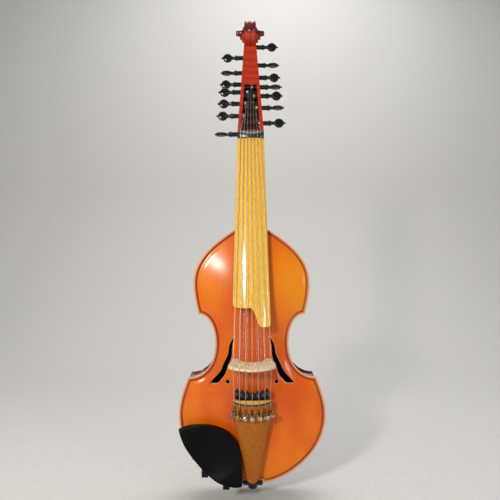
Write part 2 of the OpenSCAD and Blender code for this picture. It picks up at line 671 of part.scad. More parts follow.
top_plate();
back_plate();
ribs();
linings();
blocks();
bass_bar();
sound_post();
purfling();
neck();
fingerboard();
nut();
saddle();
end_button();
tail_gut();
tailpiece();
tailpiece_fret();
bridge();
playing_strings();
sympathetic_strings();
chin_rest();
chin_rest_clamp();
chin_rest_barrel(POSTS[0]);  // chin_rest_barrel_1
chin_rest_barrel(POSTS[1]);  // chin_rest_barrel_2
tuner_frames();
sympathetic_rail();
for (i = [0:LAST]) {
    peg(BASS_PEGS[i], -1);
    peg(TREBLE_PEGS[i], 1);
    at_tail(i) tuner_screw();
    at_tail(i) tuner_lever();
    at_tail(i) sympathetic_knob();
}
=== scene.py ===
"""Viola d'amore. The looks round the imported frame: carved plates, turned pegs, varnish and metal."""
import math
from functools import cache

import bpy
import numpy as np
from mathutils import Matrix, Vector, geometry


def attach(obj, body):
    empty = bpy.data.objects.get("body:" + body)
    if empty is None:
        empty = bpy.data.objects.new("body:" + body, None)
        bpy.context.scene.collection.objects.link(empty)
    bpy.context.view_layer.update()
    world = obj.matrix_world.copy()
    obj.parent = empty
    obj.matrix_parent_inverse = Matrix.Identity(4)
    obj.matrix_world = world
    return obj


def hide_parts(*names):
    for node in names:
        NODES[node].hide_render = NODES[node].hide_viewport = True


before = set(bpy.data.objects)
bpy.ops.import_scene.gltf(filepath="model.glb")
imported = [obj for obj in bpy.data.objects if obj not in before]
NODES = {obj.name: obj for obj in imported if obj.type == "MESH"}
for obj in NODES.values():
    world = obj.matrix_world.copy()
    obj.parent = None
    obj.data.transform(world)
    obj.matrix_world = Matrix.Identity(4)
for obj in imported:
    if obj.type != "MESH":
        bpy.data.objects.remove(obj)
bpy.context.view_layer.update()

MM = 0.001
STRINGS = 7
MIDDLE = 3
BODY = "body"


# ---------- camera, light and floor ----------
def make_camera():
    """Stands in front of the upper bout and looks up a little."""
    camera = bpy.data.objects.new("camera", bpy.data.cameras.new("camera"))
    camera.data.lens = 32.4
    camera.data.sensor_width = 36
    bpy.context.collection.objects.link(camera)
    level = Matrix.Rotation(math.radians(90 + 4.57), 4, "X")
    roll = Matrix.Rotation(math.radians(-0.31), 4, "Z")
    camera.matrix_world = Matrix.Translation((-0.0022, -0.7515, 0.3197)) @ level @ roll
    bpy.context.scene.camera = camera


def make_light(name, place, aim, size, watts, colour=(1, 1, 1)):
    """A round soft lamp at a place, aimed at another."""
    lamp = bpy.data.lights.new(name, "AREA")
    lamp.shape = "DISK"
    lamp.size = size
    lamp.energy = watts
    lamp.color = colour
    light = bpy.data.objects.new(name, lamp)
    bpy.context.collection.objects.link(light)
    light.location = place
    light.rotation_euler = (Vector(aim) - Vector(place)).to_track_quat("-Z", "Y").to_euler()


def make_world():
    """Dim, even light from all round."""
    world = bpy.data.worlds.new("studio")
    bpy.context.scene.world = world
    world.use_nodes = True
    background = world.node_tree.nodes["Background"]
    background.inputs["Color"].default_value = (0.93, 0.95, 1.0, 1)
    background.inputs["Strength"].default_value = 0.24
    bpy.context.scene.view_settings.view_transform = "Standard"


def make_floor():
    """A pale floor that sweeps up behind the object."""
    deselect()
    bpy.ops.mesh.primitive_plane_add(size=1, location=(0, 0, -0.012))
    floor = bpy.context.object
    floor.name = "floor"
    floor.scale = (7, 3.4, 1)
    bpy.ops.object.transform_apply(location=True, rotation=False, scale=True)
    bpy.ops.object.mode_set(mode="EDIT")
    select_edges(floor, lambda a, b: a.y > 1.6 and b.y > 1.6)
    bpy.ops.mesh.extrude_region_move(TRANSFORM_OT_translate={"value": (0, 0, 3.5)})
    bpy.ops.object.mode_set(mode="OBJECT")
    bevel(floor, 900, 16, 40)
    smooth(floor, 60)
    floor.data.materials.append(paper())


# ---------- working with meshes ----------
def deselect():
    bpy.ops.object.select_all(action="DESELECT")


def only(piece):
    """Makes this the one piece that is selected and active."""
    deselect()
    piece.hide_set(False)
    piece.select_set(True)
    bpy.context.view_layer.objects.active = piece


def select_edges(piece, wanted):
    """In edit mode: selects the edges whose two ends pass wanted(a, b)."""
    bpy.ops.mesh.select_mode(type="EDGE")
    bpy.ops.mesh.select_all(action="DESELECT")
    bpy.ops.object.mode_set(mode="OBJECT")
    points = piece.data.vertices
    for edge in piece.data.edges:
        edge.select = wanted(points[edge.vertices[0]].co, points[edge.vertices[1]].co)
    bpy.ops.object.mode_set(mode="EDIT")


def apply_modifier(piece, kind, **settings):
    only(piece)
    modifier = piece.modifiers.new(kind.lower(), kind)
    for key, value in settings.items():
        setattr(modifier, key, value)
    bpy.ops.object.modifier_apply(modifier=modifier.name)


def bevel(piece, width, segments=2, angle=35):
    """Rounds the edges that are sharper than angle; width in mm."""
    apply_modifier(piece, "BEVEL", width=width * MM, segments=segments, limit_method="ANGLE",
                   angle_limit=math.radians(angle), miter_outer="MITER_ARC")


def smooth(piece, angle=32):
    only(piece)
    bpy.ops.object.shade_smooth_by_angle(angle=math.radians(angle))


def tidy_mesh(piece, distance=0.001):
    """Merges doubles and turns every face outwards."""
    only(piece)
    bpy.ops.object.mode_set(mode="EDIT")
    bpy.ops.mesh.select_all(action="SELECT")
    bpy.ops.mesh.remove_doubles(threshold=distance * MM)
    bpy.ops.mesh.normals_make_consistent(inside=False)
    bpy.ops.object.mode_set(mode="OBJECT")


def mesh_piece(name, points, faces):
    """A piece from points in mm."""
    mesh = bpy.data.meshes.new(name)
    mesh.from_pydata([tuple(c * MM for c in p) for p in points], [], faces)
    piece = bpy.data.objects.new(name, mesh)
    bpy.context.collection.objects.link(piece)
    return piece


def from_node(node, name, edge=0.3, segments=2, angle=35):
    """A copy of a CAD node's shape, merged, with its edges eased."""
    piece = bpy.data.objects.new(name, NODES[node].data.copy())
    bpy.context.collection.objects.link(piece)
    piece.data.materials.clear()
    only(piece)
    bpy.ops.mesh.customdata_custom_splitnormals_clear()
    bpy.ops.object.mode_set(mode="EDIT")
    bpy.ops.mesh.select_all(action="SELECT")
    bpy.ops.mesh.remove_doubles(threshold=0.002 * MM)
    bpy.ops.mesh.dissolve_limited(angle_limit=math.radians(1))
    bpy.ops.object.mode_set(mode="OBJECT")
    if edge:
        bevel(piece, edge, segments, angle)
    return piece


def turned(name, profile, steps=48):
    """Spins a profile of (height, radius) points in mm round Z."""
    mesh = bpy.data.meshes.new(name)
    points = [(radius * MM, 0, height * MM) for height, radius in profile]
    mesh.from_pydata(points, [(i, i + 1) for i in range(len(points) - 1)], [])
    piece = bpy.data.objects.new(name, mesh)
    bpy.context.collection.objects.link(piece)
    only(piece)
    bpy.ops.object.mode_set(mode="EDIT")
    bpy.ops.mesh.select_all(action="SELECT")
    bpy.ops.mesh.spin(steps=steps, angle=math.tau, center=(0, 0, 0), axis=(0, 0, 1))
    bpy.ops.object.mode_set(mode="OBJECT")
    tidy_mesh(piece)
    return piece


def arc(centre, radius, start, end, count):
    """Points on an arc of a (height, radius) profile; angles in degrees from the height axis."""
    turns = [math.radians(start + (end - start) * k / count) for k in range(count + 1)]
    return [(centre[0] + radius * math.cos(a), centre[1] + radius * math.sin(a)) for a in turns]


def joined(pieces, name):
    """Makes one piece of several."""
    deselect()
    for piece in pieces:
        piece.select_set(True)
    bpy.context.view_layer.objects.active = pieces[0]
    bpy.ops.object.join()
    pieces[0].name = name
    return pieces[0]


def done(piece, material, body=BODY, replaces=(), angle=32):
    """Shades, paints and names what the piece rides on and stands for."""
    if angle:
        smooth(piece, angle)
    if material and not piece.data.materials:
        piece.data.materials.append(material)
    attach(piece, body)
    if replaces:
        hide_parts(*replaces)
    return piece


# ---------- outlines and carved shapes ----------
def bezier(a, b, c, d, count, first=1):
    """Points on a cubic curve, from step first to the last."""
    a, b, c, d = (np.array(p, float) for p in (a, b, c, d))
    steps = [k / count for k in range(first, count + 1)]
    return [(1 - t) ** 3 * a + 3 * t * (1 - t) ** 2 * b + 3 * t * t * (1 - t) * c + t ** 3 * d for t in steps]


def line(start, *legs):
    """Points from a start along legs: an end alone is straight, and two handles, an end and a count of
    steps are a cubic curve."""
    points = [np.array(start, float)]
    for leg in legs:
        points += bezier(points[-1], *leg) if len(leg) == 4 else [np.array(leg, float)]
    return points


def filled_out(points, step):
    """The closed outline with points added so that no side is longer than step."""
    out = []
    for a, b in zip(points, points[1:] + points[:1]):
        a, b = np.array(a, float), np.array(b, float)
        count = max(1, math.ceil(np.linalg.norm(b - a) / step))
        out += [a + (b - a) * k / count for k in range(count)]
    return np.array(out)


def counterclockwise(loop):
    """The same closed outline, run counterclockwise."""
    x, y = loop[:, 0], loop[:, 1]
    area = np.sum(x * np.roll(y, -1) - np.roll(x, -1) * y)
    return loop if area > 0 else loop[::-1]


def distance_to(points, loop):
    """How far each point is from a closed outline."""
    best = np.full(len(points), 1e9)
    ends = np.roll(loop, -1, 0)
    for a, b in zip(loop, ends):
        side = b - a
        t = np.clip(((points - a) @ side) / max(side @ side, 1e-12), 0, 1)
        gap = points - a - t[:, None] * side
        best = np.minimum(best, np.einsum("ij,ij->i", gap, gap))
    return np.sqrt(best)


def inside(points, loop):
    """Which points lie inside a closed outline."""
    x, y = points[:, 0], points[:, 1]
    hit = np.zeros(len(points), bool)
    for (ax, ay), (bx, by) in zip(loop, np.roll(loop, -1, 0)):
        crosses = (ay > y) != (by > y)
        if ay != by:
            hit ^= crosses & (x < (bx - ax) * (y - ay) / (by - ay) + ax)
    return hit


def inset(loop, depth):
    """A closed outline moved inwards, without the points that its corners swallow."""
    along = np.roll(loop, -1, 0) - np.roll(loop, 1, 0)
    length = np.linalg.norm(along, axis=1)[:, None]
    moved = loop + depth * np.stack([-along[:, 1], along[:, 0]], 1) / np.maximum(length, 1e-9)
    return moved[distance_to(moved, loop) > abs(depth) * 0.985]


def round_over(edge, radius):
    """How far an edge of this radius falls back, at a distance from the edge."""
    reach = np.clip(radius - edge, 0, radius)
    return radius - np.sqrt(radius * radius - reach * reach)


def in_front(u, v, w):
    """A plan in X and Z whose depth is Y."""
    return np.stack([u, w, v], 1)


def carve(name, outline, front, back, holes=(), rings=(0.15, 0.5, 1.1, 2), spacing=4, place=in_front):
    """A solid with a plan outline, holes in it, and a front and a back surface given as functions
    of the plan and of the distance from the nearest edge. The distances from the nearest edge and from
    the outline stay on the mesh, as from_edge and from_rim."""
    outline = counterclockwise(outline)
    holes = [counterclockwise(hole) for hole in holes]
    loops = [outline] + holes
    points, edges = [], []
    for loop in loops:
        base = len(points)
        points += list(loop)
        edges += [(base + k, base + (k + 1) % len(loop)) for k in range(len(loop))]
    extra = [inset(outline, depth) for depth in rings]
    extra += [inset(hole[::-1], depth) for hole in holes for depth in rings[:3]]
    low, high = outline.min(0), outline.max(0)
    rows = np.arange(low[1] + spacing / 2, high[1], spacing * 0.87)
    grid = np.array([(x + (k % 2) * spacing / 2, y) for k, y in enumerate(rows)
                     for x in np.arange(low[0] + spacing / 4, high[0], spacing)])
    grid = grid[distance_to(grid, outline) > rings[-1] + spacing * 0.45]
    extra = np.concatenate([e for e in extra + [grid] if len(e)])
    keep = inside(extra, outline)
    for hole in holes:
        keep &= ~inside(extra, hole) & (distance_to(extra, hole) > rings[0] * 0.9)
    extra = extra[keep]
    if holes:
        near = np.min([distance_to(extra, hole) for hole in holes], axis=0)
        on_grid = distance_to(extra, outline) > rings[-1] * 1.01
        on_ring = np.min([np.abs(near - r) for r in rings[:3]], axis=0) < 0.02
        extra = extra[~(on_grid & (near < rings[min(2, len(rings) - 1)] + spacing * 0.3) & ~on_ring)]
    flat = [Vector((p[0], p[1])) for p in points] + [Vector((p[0], p[1])) for p in extra]
    plan, _, faces, _, _, _ = geometry.delaunay_2d_cdt(flat, edges, [], 1, 1e-5)
    plan = np.array([(p[0], p[1]) for p in plan])
    centres = np.array([plan[list(f)].mean(0) for f in faces])
    good = inside(centres, outline)
    for hole in holes:
        good &= ~inside(centres, hole)
    faces = [tuple(f) for f, g in zip(faces, good) if g]
    edge = np.min([distance_to(plan, loop) for loop in loops], axis=0)
    u, v = plan[:, 0], plan[:, 1]
    n = len(plan)
    both = np.concatenate([place(u, v, front(u, v, edge)), place(u, v, back(u, v, edge))])
    sides = {(f[k], f[(k + 1) % len(f)]) for f in faces for k in range(len(f))}
    walls = [(b, a, a + n, b + n) for a, b in sides if (b, a) not in sides]
    piece = mesh_piece(name, both, faces + [tuple(k + n for k in reversed(f)) for f in faces] + walls)
    for name, distance in (("from_edge", edge), ("from_rim", distance_to(plan, outline))):
        stored = piece.data.attributes.new(name, "FLOAT", "POINT")
        stored.data.foreach_set("value", np.concatenate([distance, distance]).astype(np.float32))
    only(piece)
    bpy.ops.object.mode_set(mode="EDIT")
    bpy.ops.mesh.select_all(action="SELECT")
    bpy.ops.mesh.delete_loose()
    bpy.ops.mesh.select_all(action="SELECT")
    bpy.ops.mesh.normals_make_consistent(inside=False)
    bpy.ops.object.mode_set(mode="OBJECT")
    return piece


def mirrored(half):
    """A half outline and its mirror image, as one closed outline."""
    return [np.array(p, float) for p in half] + [np.array((-p[0], p[1]), float) for p in half[::-1]]


# ---------- the body's shape, in mm ----------
TAIL_EDGE = 12
BODY_LENGTH = 400
EDGE_PLANE = 25.5
RIB_PLANE = 21
CHANNEL = 7
FRONT_RISE = 14
BACK_RISE = 13


def body_half():
    """The treble half of the body's outline, from the tail to the neck: [half width, height]."""
    tail_curve = bezier((0, 0), (50, 0), (115.6, 45), (115.6, 107), 32, 6)
    half = [(6, 0)] + tail_curve[:-1]
    half += line(tail_curve[-1],
                 ((115.6, 128), (107.5, 147), (101.4, 163.8), 10),
                 ((78, 163.8), (58.2, 182), (58.2, 217), 18),
                 ((58.2, 240), (68, 262.7), (85.2, 262.7), 16),
                 ((89.5, 279), (93.5, 296), (93.5, 313), 12),
                 ((93.5, 352), (62, 377), (29, 398), 24))
    return [(p[0], p[1] + TAIL_EDGE) for p in half] + [(22, TAIL_EDGE + BODY_LENGTH)]


OUTLINE = counterclockwise(filled_out(mirrored(body_half()), 2.2))


def arch_grid():
    """A smooth hill over the body, 1 along the middle and 0 at the channel, on a 2 mm grid. Each
    point is levelled with its neighbours until the hill flows round the waist and the corners."""
    xs, zs = np.arange(-120, 121, 2.0), np.arange(TAIL_EDGE - 4, TAIL_EDGE + BODY_LENGTH + 5, 2.0)
    u, v = np.meshgrid(xs, zs)
    points = np.stack([u.ravel(), v.ravel()], 1)
    depth = distance_to(points, OUTLINE) * np.where(inside(points, OUTLINE), 1, -1)
    depth = depth.reshape(u.shape)
    within = depth > CHANNEL
    width = np.where(within, np.abs(u), 0).max(1)[:, None] + 2
    hill = np.where(within, width ** 2 - u ** 2, 0) / 8
    for _ in range(1500):
        level = (hill[:-2, 1:-1] + hill[2:, 1:-1] + hill[1:-1, :-2] + hill[1:-1, 2:]) / 4 + 0.25
        hill[1:-1, 1:-1] = np.where(within[1:-1, 1:-1], level, 0)
    middle = hill[:, len(xs) // 2][:, None]
    return xs, zs, np.where(within, hill / np.maximum(middle, 1e-6), 0)


XS, ZS, HILL = arch_grid()


def hill_at(x, z):
    """Reads the hill between its grid points."""
    i = np.clip((x - XS[0]) / 2, 0, len(XS) - 1.001)
    k = np.clip((z - ZS[0]) / 2, 0, len(ZS) - 1.001)
    i0, k0 = i.astype(int), k.astype(int)
    i, k = i - i0, k - k0
    low = HILL[k0, i0] * (1 - i) + HILL[k0, i0 + 1] * i
    high = HILL[k0 + 1, i0] * (1 - i) + HILL[k0 + 1, i0 + 1] * i
    return np.clip(low * (1 - k) + high * k, 0, 1)


def arch(x, z, rise):
    """How far the arch stands over the edge's plane."""
    along = np.clip(np.abs(2 * (z - TAIL_EDGE) / BODY_LENGTH - 1) * 1.035, 0, 1)
    return rise * (1 - along ** 3) ** 1.2 * hill_at(x, z) ** 1.35


def hollow(edge):
    """The channel that runs round just inside the edge."""
    return 0.95 * np.exp(-((edge - 6.6) / 2.9) ** 2)


def plate_front(rise, edge_radius=1.5):
    """The outer surface of a plate, as a distance in front of the middle of the ribs."""
    return lambda x, z, edge: (EDGE_PLANE + arch(x, z, rise) - hollow(edge)
                               - round_over(edge, edge_radius))


def plate_back(rise):
    """The inner surface of a plate: flat on the ribs, and hollowed under the arch."""
    outer = plate_front(rise, 0.01)
    return lambda x, z, edge: RIB_PLANE + np.maximum(0, outer(x, z, edge) - RIB_PLANE - 3.6) + 0.7 * (
        round_over(edge, 0.8) / 0.8)


def flame_holes():
    """The two flame-shaped holes and the round hole by each."""
    flame = line((27.5, 228),
                 ((35, 219), (36.5, 212), (37, 204.7), 12),
                 ((38, 196), (45, 188), (47.3, 178.8), 12),
                 ((49.5, 172), (58, 166), (66.3, 155.7), 14),
                 ((58, 155.6), (53, 155.6), (50.5, 159.5), 9),
                 ((48, 164), (43, 165), (39.8, 176.5), 9),
                 ((37, 187), (31.5, 192), (31.3, 204), 12),
                 ((31.2, 212), (30.5, 219), (27.5, 228), 10))[:-1]
    flame = np.array([(p[0], p[1] + TAIL_EDGE) for p in flame])
    turns = [math.tau * k / 28 for k in range(28)]
    dot = np.array([(38 + 3 * math.cos(a), 158.7 + TAIL_EDGE + 3 * math.sin(a)) for a in turns])
    return [loop * (side, 1) for side in (1, -1) for loop in (flame, dot)]


def with_notch(loop, half_width, top):
    """The body's outline with a notch in its tail edge for the saddle."""
    kept = [tuple(p) for p in loop if abs(p[0]) > half_width + 1 or p[1] > 60]
    first = next(k for k in range(len(kept)) if kept[k - 1][0] < 0 < kept[k][0] and kept[k][1] < 60)
    low = TAIL_EDGE + 0.2
    notch = [(-half_width, low), (-half_width, top), (half_width, top), (half_width, low)]
    return filled_out(kept[first:] + kept[:first] + notch, 2.2)


PLATE_RINGS = (0.12, 0.4, 0.9, 1.5, 2.4, 3.6, 5, 6.5, 8.5, 11)


def top_plate():
    """The arched spruce front, with its flame holes and a notch for the saddle."""
    front, back = plate_front(FRONT_RISE), plate_back(FRONT_RISE)
    piece = carve("front_plate", with_notch(OUTLINE, 15, 18), lambda x, z, e: -front(x, z, e),
                  lambda x, z, e: -back(x, z, e), flame_holes(), PLATE_RINGS, 4.2)
    done(piece, spruce_varnish(), replaces=["top_plate"], angle=40)


def back_plate():
    """The arched maple back, whose button runs up behind the neck's heel."""
    button = [(11, 412.5), (10.9, 414.5), (10.2, 417.5), (8.6, 420), (6.4, 421.8), (3.4, 422.9), (0.5, 423.2)]
    outline = filled_out(mirrored(body_half() + button), 2.2)
    piece = carve("back", outline, plate_front(BACK_RISE), plate_back(BACK_RISE), (), PLATE_RINGS, 4.2)
    done(piece, maple_varnish(), replaces=["back_plate"], angle=40)


def purfling():
    """A dark, pale and dark strip let into each plate, 4 mm from its edge."""
    strips = []
    for side, rise in ((-1, FRONT_RISE), (1, BACK_RISE)):
        front = plate_front(rise)

        def level(lift):
            return lambda x, z, edge: side * (front(x, z, distance_to(np.stack([x, z], 1), OUTLINE)) + lift)

        for near, far, dye in ((4, 4.45, dyed_pear), (4.45, 4.8, pale_poplar), (4.8, 5.25, dyed_pear)):
            outer, inner = inset(OUTLINE, near), inset(OUTLINE, far)
            strips.append(carve("strip", outer, level(0.04), level(-1.2), [inner], (50,), 40))
            strips[-1].data.materials.append(dye())
    done(joined(strips, "purfling_strips"), None, replaces=["purfling"], angle=40)


def ribs():
    """The bent sides, set in a little from the edges of the plates."""
    outer, inner = inset(OUTLINE, 2.5), inset(OUTLINE, 3.7)
    piece = carve("sides", outer, lambda x, z, e: -RIB_PLANE + 0 * x, lambda x, z, e: RIB_PLANE + 0 * x,
                  [inner], (50,), 40)
    measure_along(piece, outer)
    done(piece, rib_maple(), replaces=["ribs"], angle=40)


def measure_along(piece, loop):
    """Stores how far round a closed outline each point lies, in mm, as along."""
    flat = np.array([(v.co.x / MM, v.co.z / MM) for v in piece.data.vertices])
    length = np.concatenate([[0], np.cumsum(np.linalg.norm(np.diff(loop, axis=0), axis=1))])
    nearest = [int(np.argmin(np.einsum("ij,ij->i", loop - p, loop - p))) for p in flat]
    stored = piece.data.attributes.new("along", "FLOAT", "POINT")
    stored.data.foreach_set("value", length[nearest].astype(np.float32))


# ---------- neck, head and scroll ----------
NECK_TOP_Y = -14.7
NUT_Z = 564.7
NUT_BACK = -20
EYE_Y, EYE_Z = 6.5, 762
EYE_TURNS = 2.75


def head_front(z):
    """The depth of the pegbox's front, which leans back as it rises."""
    return -18 + 0.16 * (z - 577)


def head_half(z):
    """Half of the pegbox's width, which tapers to the scroll."""
    return 22 - 10 * (z - 577) / 147


def neck():
    """The neck, heel and pegbox, cut off under the scroll, which is carved apart."""
    piece = from_node("neck", "neck_and_pegbox", 0)
    bpy.ops.object.mode_set(mode="EDIT")
    bpy.ops.mesh.select_all(action="SELECT")
    bpy.ops.mesh.bisect(plane_co=(0, 0, 0.7535), plane_no=(0, 0, 1), clear_outer=True, use_fill=True)
    bpy.ops.object.mode_set(mode="OBJECT")
    bevel(piece, 0.55, 3, 30)
    done(piece, head_varnish(), replaces=["neck"], angle=30)


def scroll():
    """The scroll: a ball of rings and segments, shaped so that its two poles are the eyes, its equator
    the fluted rim and each side a ribbon that climbs to the eye as it winds in."""
    rim_radius, side_radius, eye_radius, last_turn_radius = 22, 21.6, 5.1, 5.2
    rim_half, first_half, climb, eye_half, eye_height = 9.3, 9.4, 6.6, 16, 8.8
    side_share, scoop_depth, flute_depth = 0.43, 1.0, 1.5
    deselect()
    bpy.ops.mesh.primitive_uv_sphere_add(segments=144, ring_count=150, radius=1)
    piece = bpy.context.object
    piece.name = "scroll"
    start = math.radians(-62)
    shrink = math.log(rim_radius / last_turn_radius) / EYE_TURNS

    def side_at(radius, turn):
        """How far out the side stands at a radius and at a share of a turn."""
        wound = math.log(rim_radius / max(radius, 1e-3)) / shrink - turn
        whole = math.floor(wound)
        inward = wound - whole
        level = [first_half + climb * (min(max(t, 0), EYE_TURNS) / EYE_TURNS) ** 1.3
                 for t in (whole + turn, whole + 1 + turn)]
        rise = min(max((inward - 0.62) / 0.36, 0), 1)
        rise = rise * rise * (3 - 2 * rise)
        scoop = scoop_depth * math.sin(math.pi * min(inward / 0.72, 1)) if radius > 5 else 0
        return level[0] + (level[1] - level[0]) * rise - scoop

    for vertex in piece.data.vertices:
        p = vertex.co.normalized()
        share = math.acos(max(-1, min(1, p.z))) / math.pi
        angle = math.atan2(p.y, p.x)
        turn = ((angle - start) % math.tau) / math.tau
        side = 1 if share < 0.5 else -1
        reach = min(share, 1 - share) / side_share
        if reach < 1:
            radius = side_radius * reach
            if radius < eye_radius:
                across = eye_half + eye_height * (1 - (radius / eye_radius) ** 7) ** 0.4
            else:
                across = side_at(radius, turn)
        else:
            across = rim_half * (1 - (reach - 1) / (0.5 / side_share - 1))
            flute = flute_depth * math.sin(math.pi * min(max((across - 0.9) / 7.2, 0), 1)) ** 1.4
            radius = rim_radius - flute - 0.4 * max(0, across - 8.6)
        vertex.co = Vector((side * across, EYE_Y + radius * math.cos(angle),
                            EYE_Z + radius * math.sin(angle))) * MM
    tidy_mesh(piece)
    done(piece, scroll_varnish(), angle=50)


def fingerboard():
    """A cambered board that is hollow below the neck, with a tongue on its treble side."""
    crown_slope, under_slope, camber = 0.132, 0.119, 55
    slant = math.sqrt(1 + crown_slope ** 2)
    outline = [(-22, 564.6), (-29.5, 293)]
    outline += line((-29.3, 290.5), ((-28, 288), (-26, 286.6), (-22, 286.2), 6),
                    ((-14, 285.6), (-8, 285.6), (-3, 286), 8), ((6, 286), (7, 259), (15, 257), 18))[1:]
    outline += line((24, 257), ((27.5, 257), (29, 259.5), (29.1, 264), 8), (22, 564.6))

    def crown(z):
        return -24.4 - crown_slope * (NUT_Z - 1.7 - z)

    def front(x, z, edge):
        return crown(z) + slant * (camber - np.sqrt(camber ** 2 - x ** 2)) + 0.6 * round_over(edge, 1)

    def back(x, z, edge):
        under = NECK_TOP_Y - under_slope * (NUT_Z - 1.7 - z) - 0.02
        shell = crown(z) + slant * (camber - np.sqrt((camber - 7) ** 2 - x ** 2))
        open_share = np.clip((402 - z) / 6, 0, 1)
        return np.where(shell < under, under + (shell - under) * open_share, under) - round_over(edge, 0.5)

    piece = carve("board", filled_out(outline, 3), front, back, (), (0.1, 0.35, 0.8, 1.2, 3), 4.5)
    done(piece, board_maple(), replaces=["fingerboard"], angle=35)


def nut():
    """The ebony block that the strings leave the fingerboard over."""
    piece = from_node("nut", "nut_block", 0.35)
    done(piece, ebony("polished_ebony_nut"), replaces=["nut"])


# ---------- bridge ----------
BRIDGE_TOP_Y = -82
BRIDGE_CAMBER = 44
STRING_SPACING = 9.45
THIN_SPACING = 7


def crown_at(x):
    """The bridge's curved top, as a depth."""
    return BRIDGE_TOP_Y + BRIDGE_CAMBER - np.sqrt(BRIDGE_CAMBER ** 2 - x ** 2)


def bridge_low(y):
    """The side that faces the tailpiece."""
    return 199.2 + 0.10167 * (y + 30)


def bridge_high(y):
    """The side that faces the neck."""
    return 208 + 0.2 * (y + 30)


def bridge():
    """Pale maple, cut out under its crown and leaning towards the neck as it rises from its feet."""
    feet = plate_front(FRONT_RISE)

    def foot(x):
        return -float(feet(np.array([x]), np.array([191.0]), np.array([60.0]))[0]) + 0.15

    half = [(x, crown_at(x)) for x in (0.01, 6, 12, 18, 24, 30)]
    half += line((34, crown_at(34)), ((35.6, -64.6), (36.4, -62.4), (35.8, -60), 6),
                 ((34.4, -54), (31.8, -48), (31.6, -42), 8), (31.6, foot(31.6)), (18.6, foot(18.6)),
                 (18.4, -42.6), ((17, -45), (13, -51), (0, -51), 9))[:-1]
    half += [(0.01, -51)]

    def kidney(side):
        loop = line((12.5, -62), ((17, -66.5), (24, -64.5), (24.5, -60), 10),
                    ((24.5, -56), (17.5, -53.5), (12.5, -62), 10))
        return np.array(loop[:-1]) * (side, 1)

    def heart():
        loop = line((0.01, -55.5), ((3.5, -57.5), (7.5, -61.5), (4.6, -64.8), 10),
                    ((2.6, -66.4), (0.6, -65), (0.01, -62.8), 6))[:-1]
        return np.array(loop + [(-x, y) for x, y in loop[::-1]])

    def pin_hole(x):
        return np.array([(x + 0.9 * math.cos(math.tau * k / 14), -57 + 0.9 * math.sin(math.tau * k / 14))
                         for k in range(14)])

    def upper(x, y, edge):
        return bridge_high(y) - 0.7 * round_over(edge, 0.8)

    def lower(x, y, edge):
        return bridge_low(y) + 0.7 * round_over(edge, 0.8)

    outline = filled_out(mirrored(half), 1.4)
    holes = [filled_out([tuple(p) for p in loop], 1) for loop in (kidney(1), kidney(-1), heart())]
    holes += [pin_hole(-THIN_SPACING), pin_hole(THIN_SPACING)]
    piece = carve("bridge_plate", outline, upper, lower, holes, (0.12, 0.4, 0.8), 2.2,
                  place=lambda u, v, w: np.stack([u, v, w], 1))
    done(piece, bridge_maple(), replaces=["bridge"], angle=35)


# ---------- the tail's own axes ----------
TILT = math.atan(0.223)
TAIL_RADIUS = 42
TAIL_CROWN_Y, TAIL_TOP = -66, 148
FAN = 13


def tail_axes(string=MIDDLE):
    """Places what is drawn round the tailpiece's axis, in metres: Z up it, -Y out of its crown."""
    return (Matrix.Translation((0, TAIL_CROWN_Y * MM, TAIL_TOP * MM)) @ Matrix.Rotation(TILT, 4, "X")
            @ Matrix.Translation((0, TAIL_RADIUS * MM, 0))
            @ Matrix.Rotation(math.radians((string - MIDDLE) * FAN), 4, "Z"))


def tail_point(radius, height, string, aside=0):
    """A place by a string's line on the tailpiece: out from its axis, up it and across the line, in mm."""
    turn = math.radians((string - MIDDLE) * FAN) + aside / radius
    local = Vector((radius * math.sin(turn), -radius * math.cos(turn), height)) * MM
    return tuple((tail_axes() @ local) / MM)


def tailpiece():
    """The curved board that holds the strings' ends, with a slot for each tuner, and its fret."""
    half = line((0.01, 149), (14, 148.5), ((26, 147.6), (31.4, 147.4), (31.5, 142), 8), (28, 114),
                (24.5, 101), (21.3, 84), (17.2, 62), (13.2, 40), ((11.5, 27), (9, 18), (0, 17.5), 14))[:-1]
    half += [(0.01, 17.5)]

    def surface(radius):
        def depth(x, z, edge_drop):
            local_y = -np.sqrt((radius - edge_drop) ** 2 - x ** 2)
            local_z = (z - TAIL_TOP - (TAIL_RADIUS + local_y) * math.sin(TILT)) / math.cos(TILT)
            return (TAIL_CROWN_Y + (TAIL_RADIUS + local_y) * math.cos(TILT) - local_z * math.sin(TILT))
        return depth

    outer, inner = surface(TAIL_RADIUS), surface(TAIL_RADIUS - 5)
    slots = []
    for i in range(STRINGS):
        corners = [(-1.2, -28), (1.2, -28), (1.2, -13.6), (0.6, -13), (-0.6, -13), (-1.2, -13.6)]
        loop = [tail_point(TAIL_RADIUS, z, i, aside) for aside, z in corners]
        slots.append(filled_out([(p[0], p[2]) for p in loop], 1))
    piece = carve("tail_board", filled_out(mirrored(half), 2.2),
                  lambda x, z, e: outer(x, z, round_over(e, 1.6)),
                  lambda x, z, e: inner(x, z, -round_over(e, 0.9)), slots,
                  (0.12, 0.45, 1, 1.6, 3), 3.4)
    done(piece, tail_maple(), replaces=["tailpiece"], angle=38)
    fret = from_node("tailpiece_fret", "tail_fret", 0.35, 3)
    done(fret, ebony("polished_ebony_fret"), replaces=["tailpiece_fret"])


# ---------- turned and metal pieces ----------
PEG_RADIUS = 3.5
PEG_TAPER = 0.018


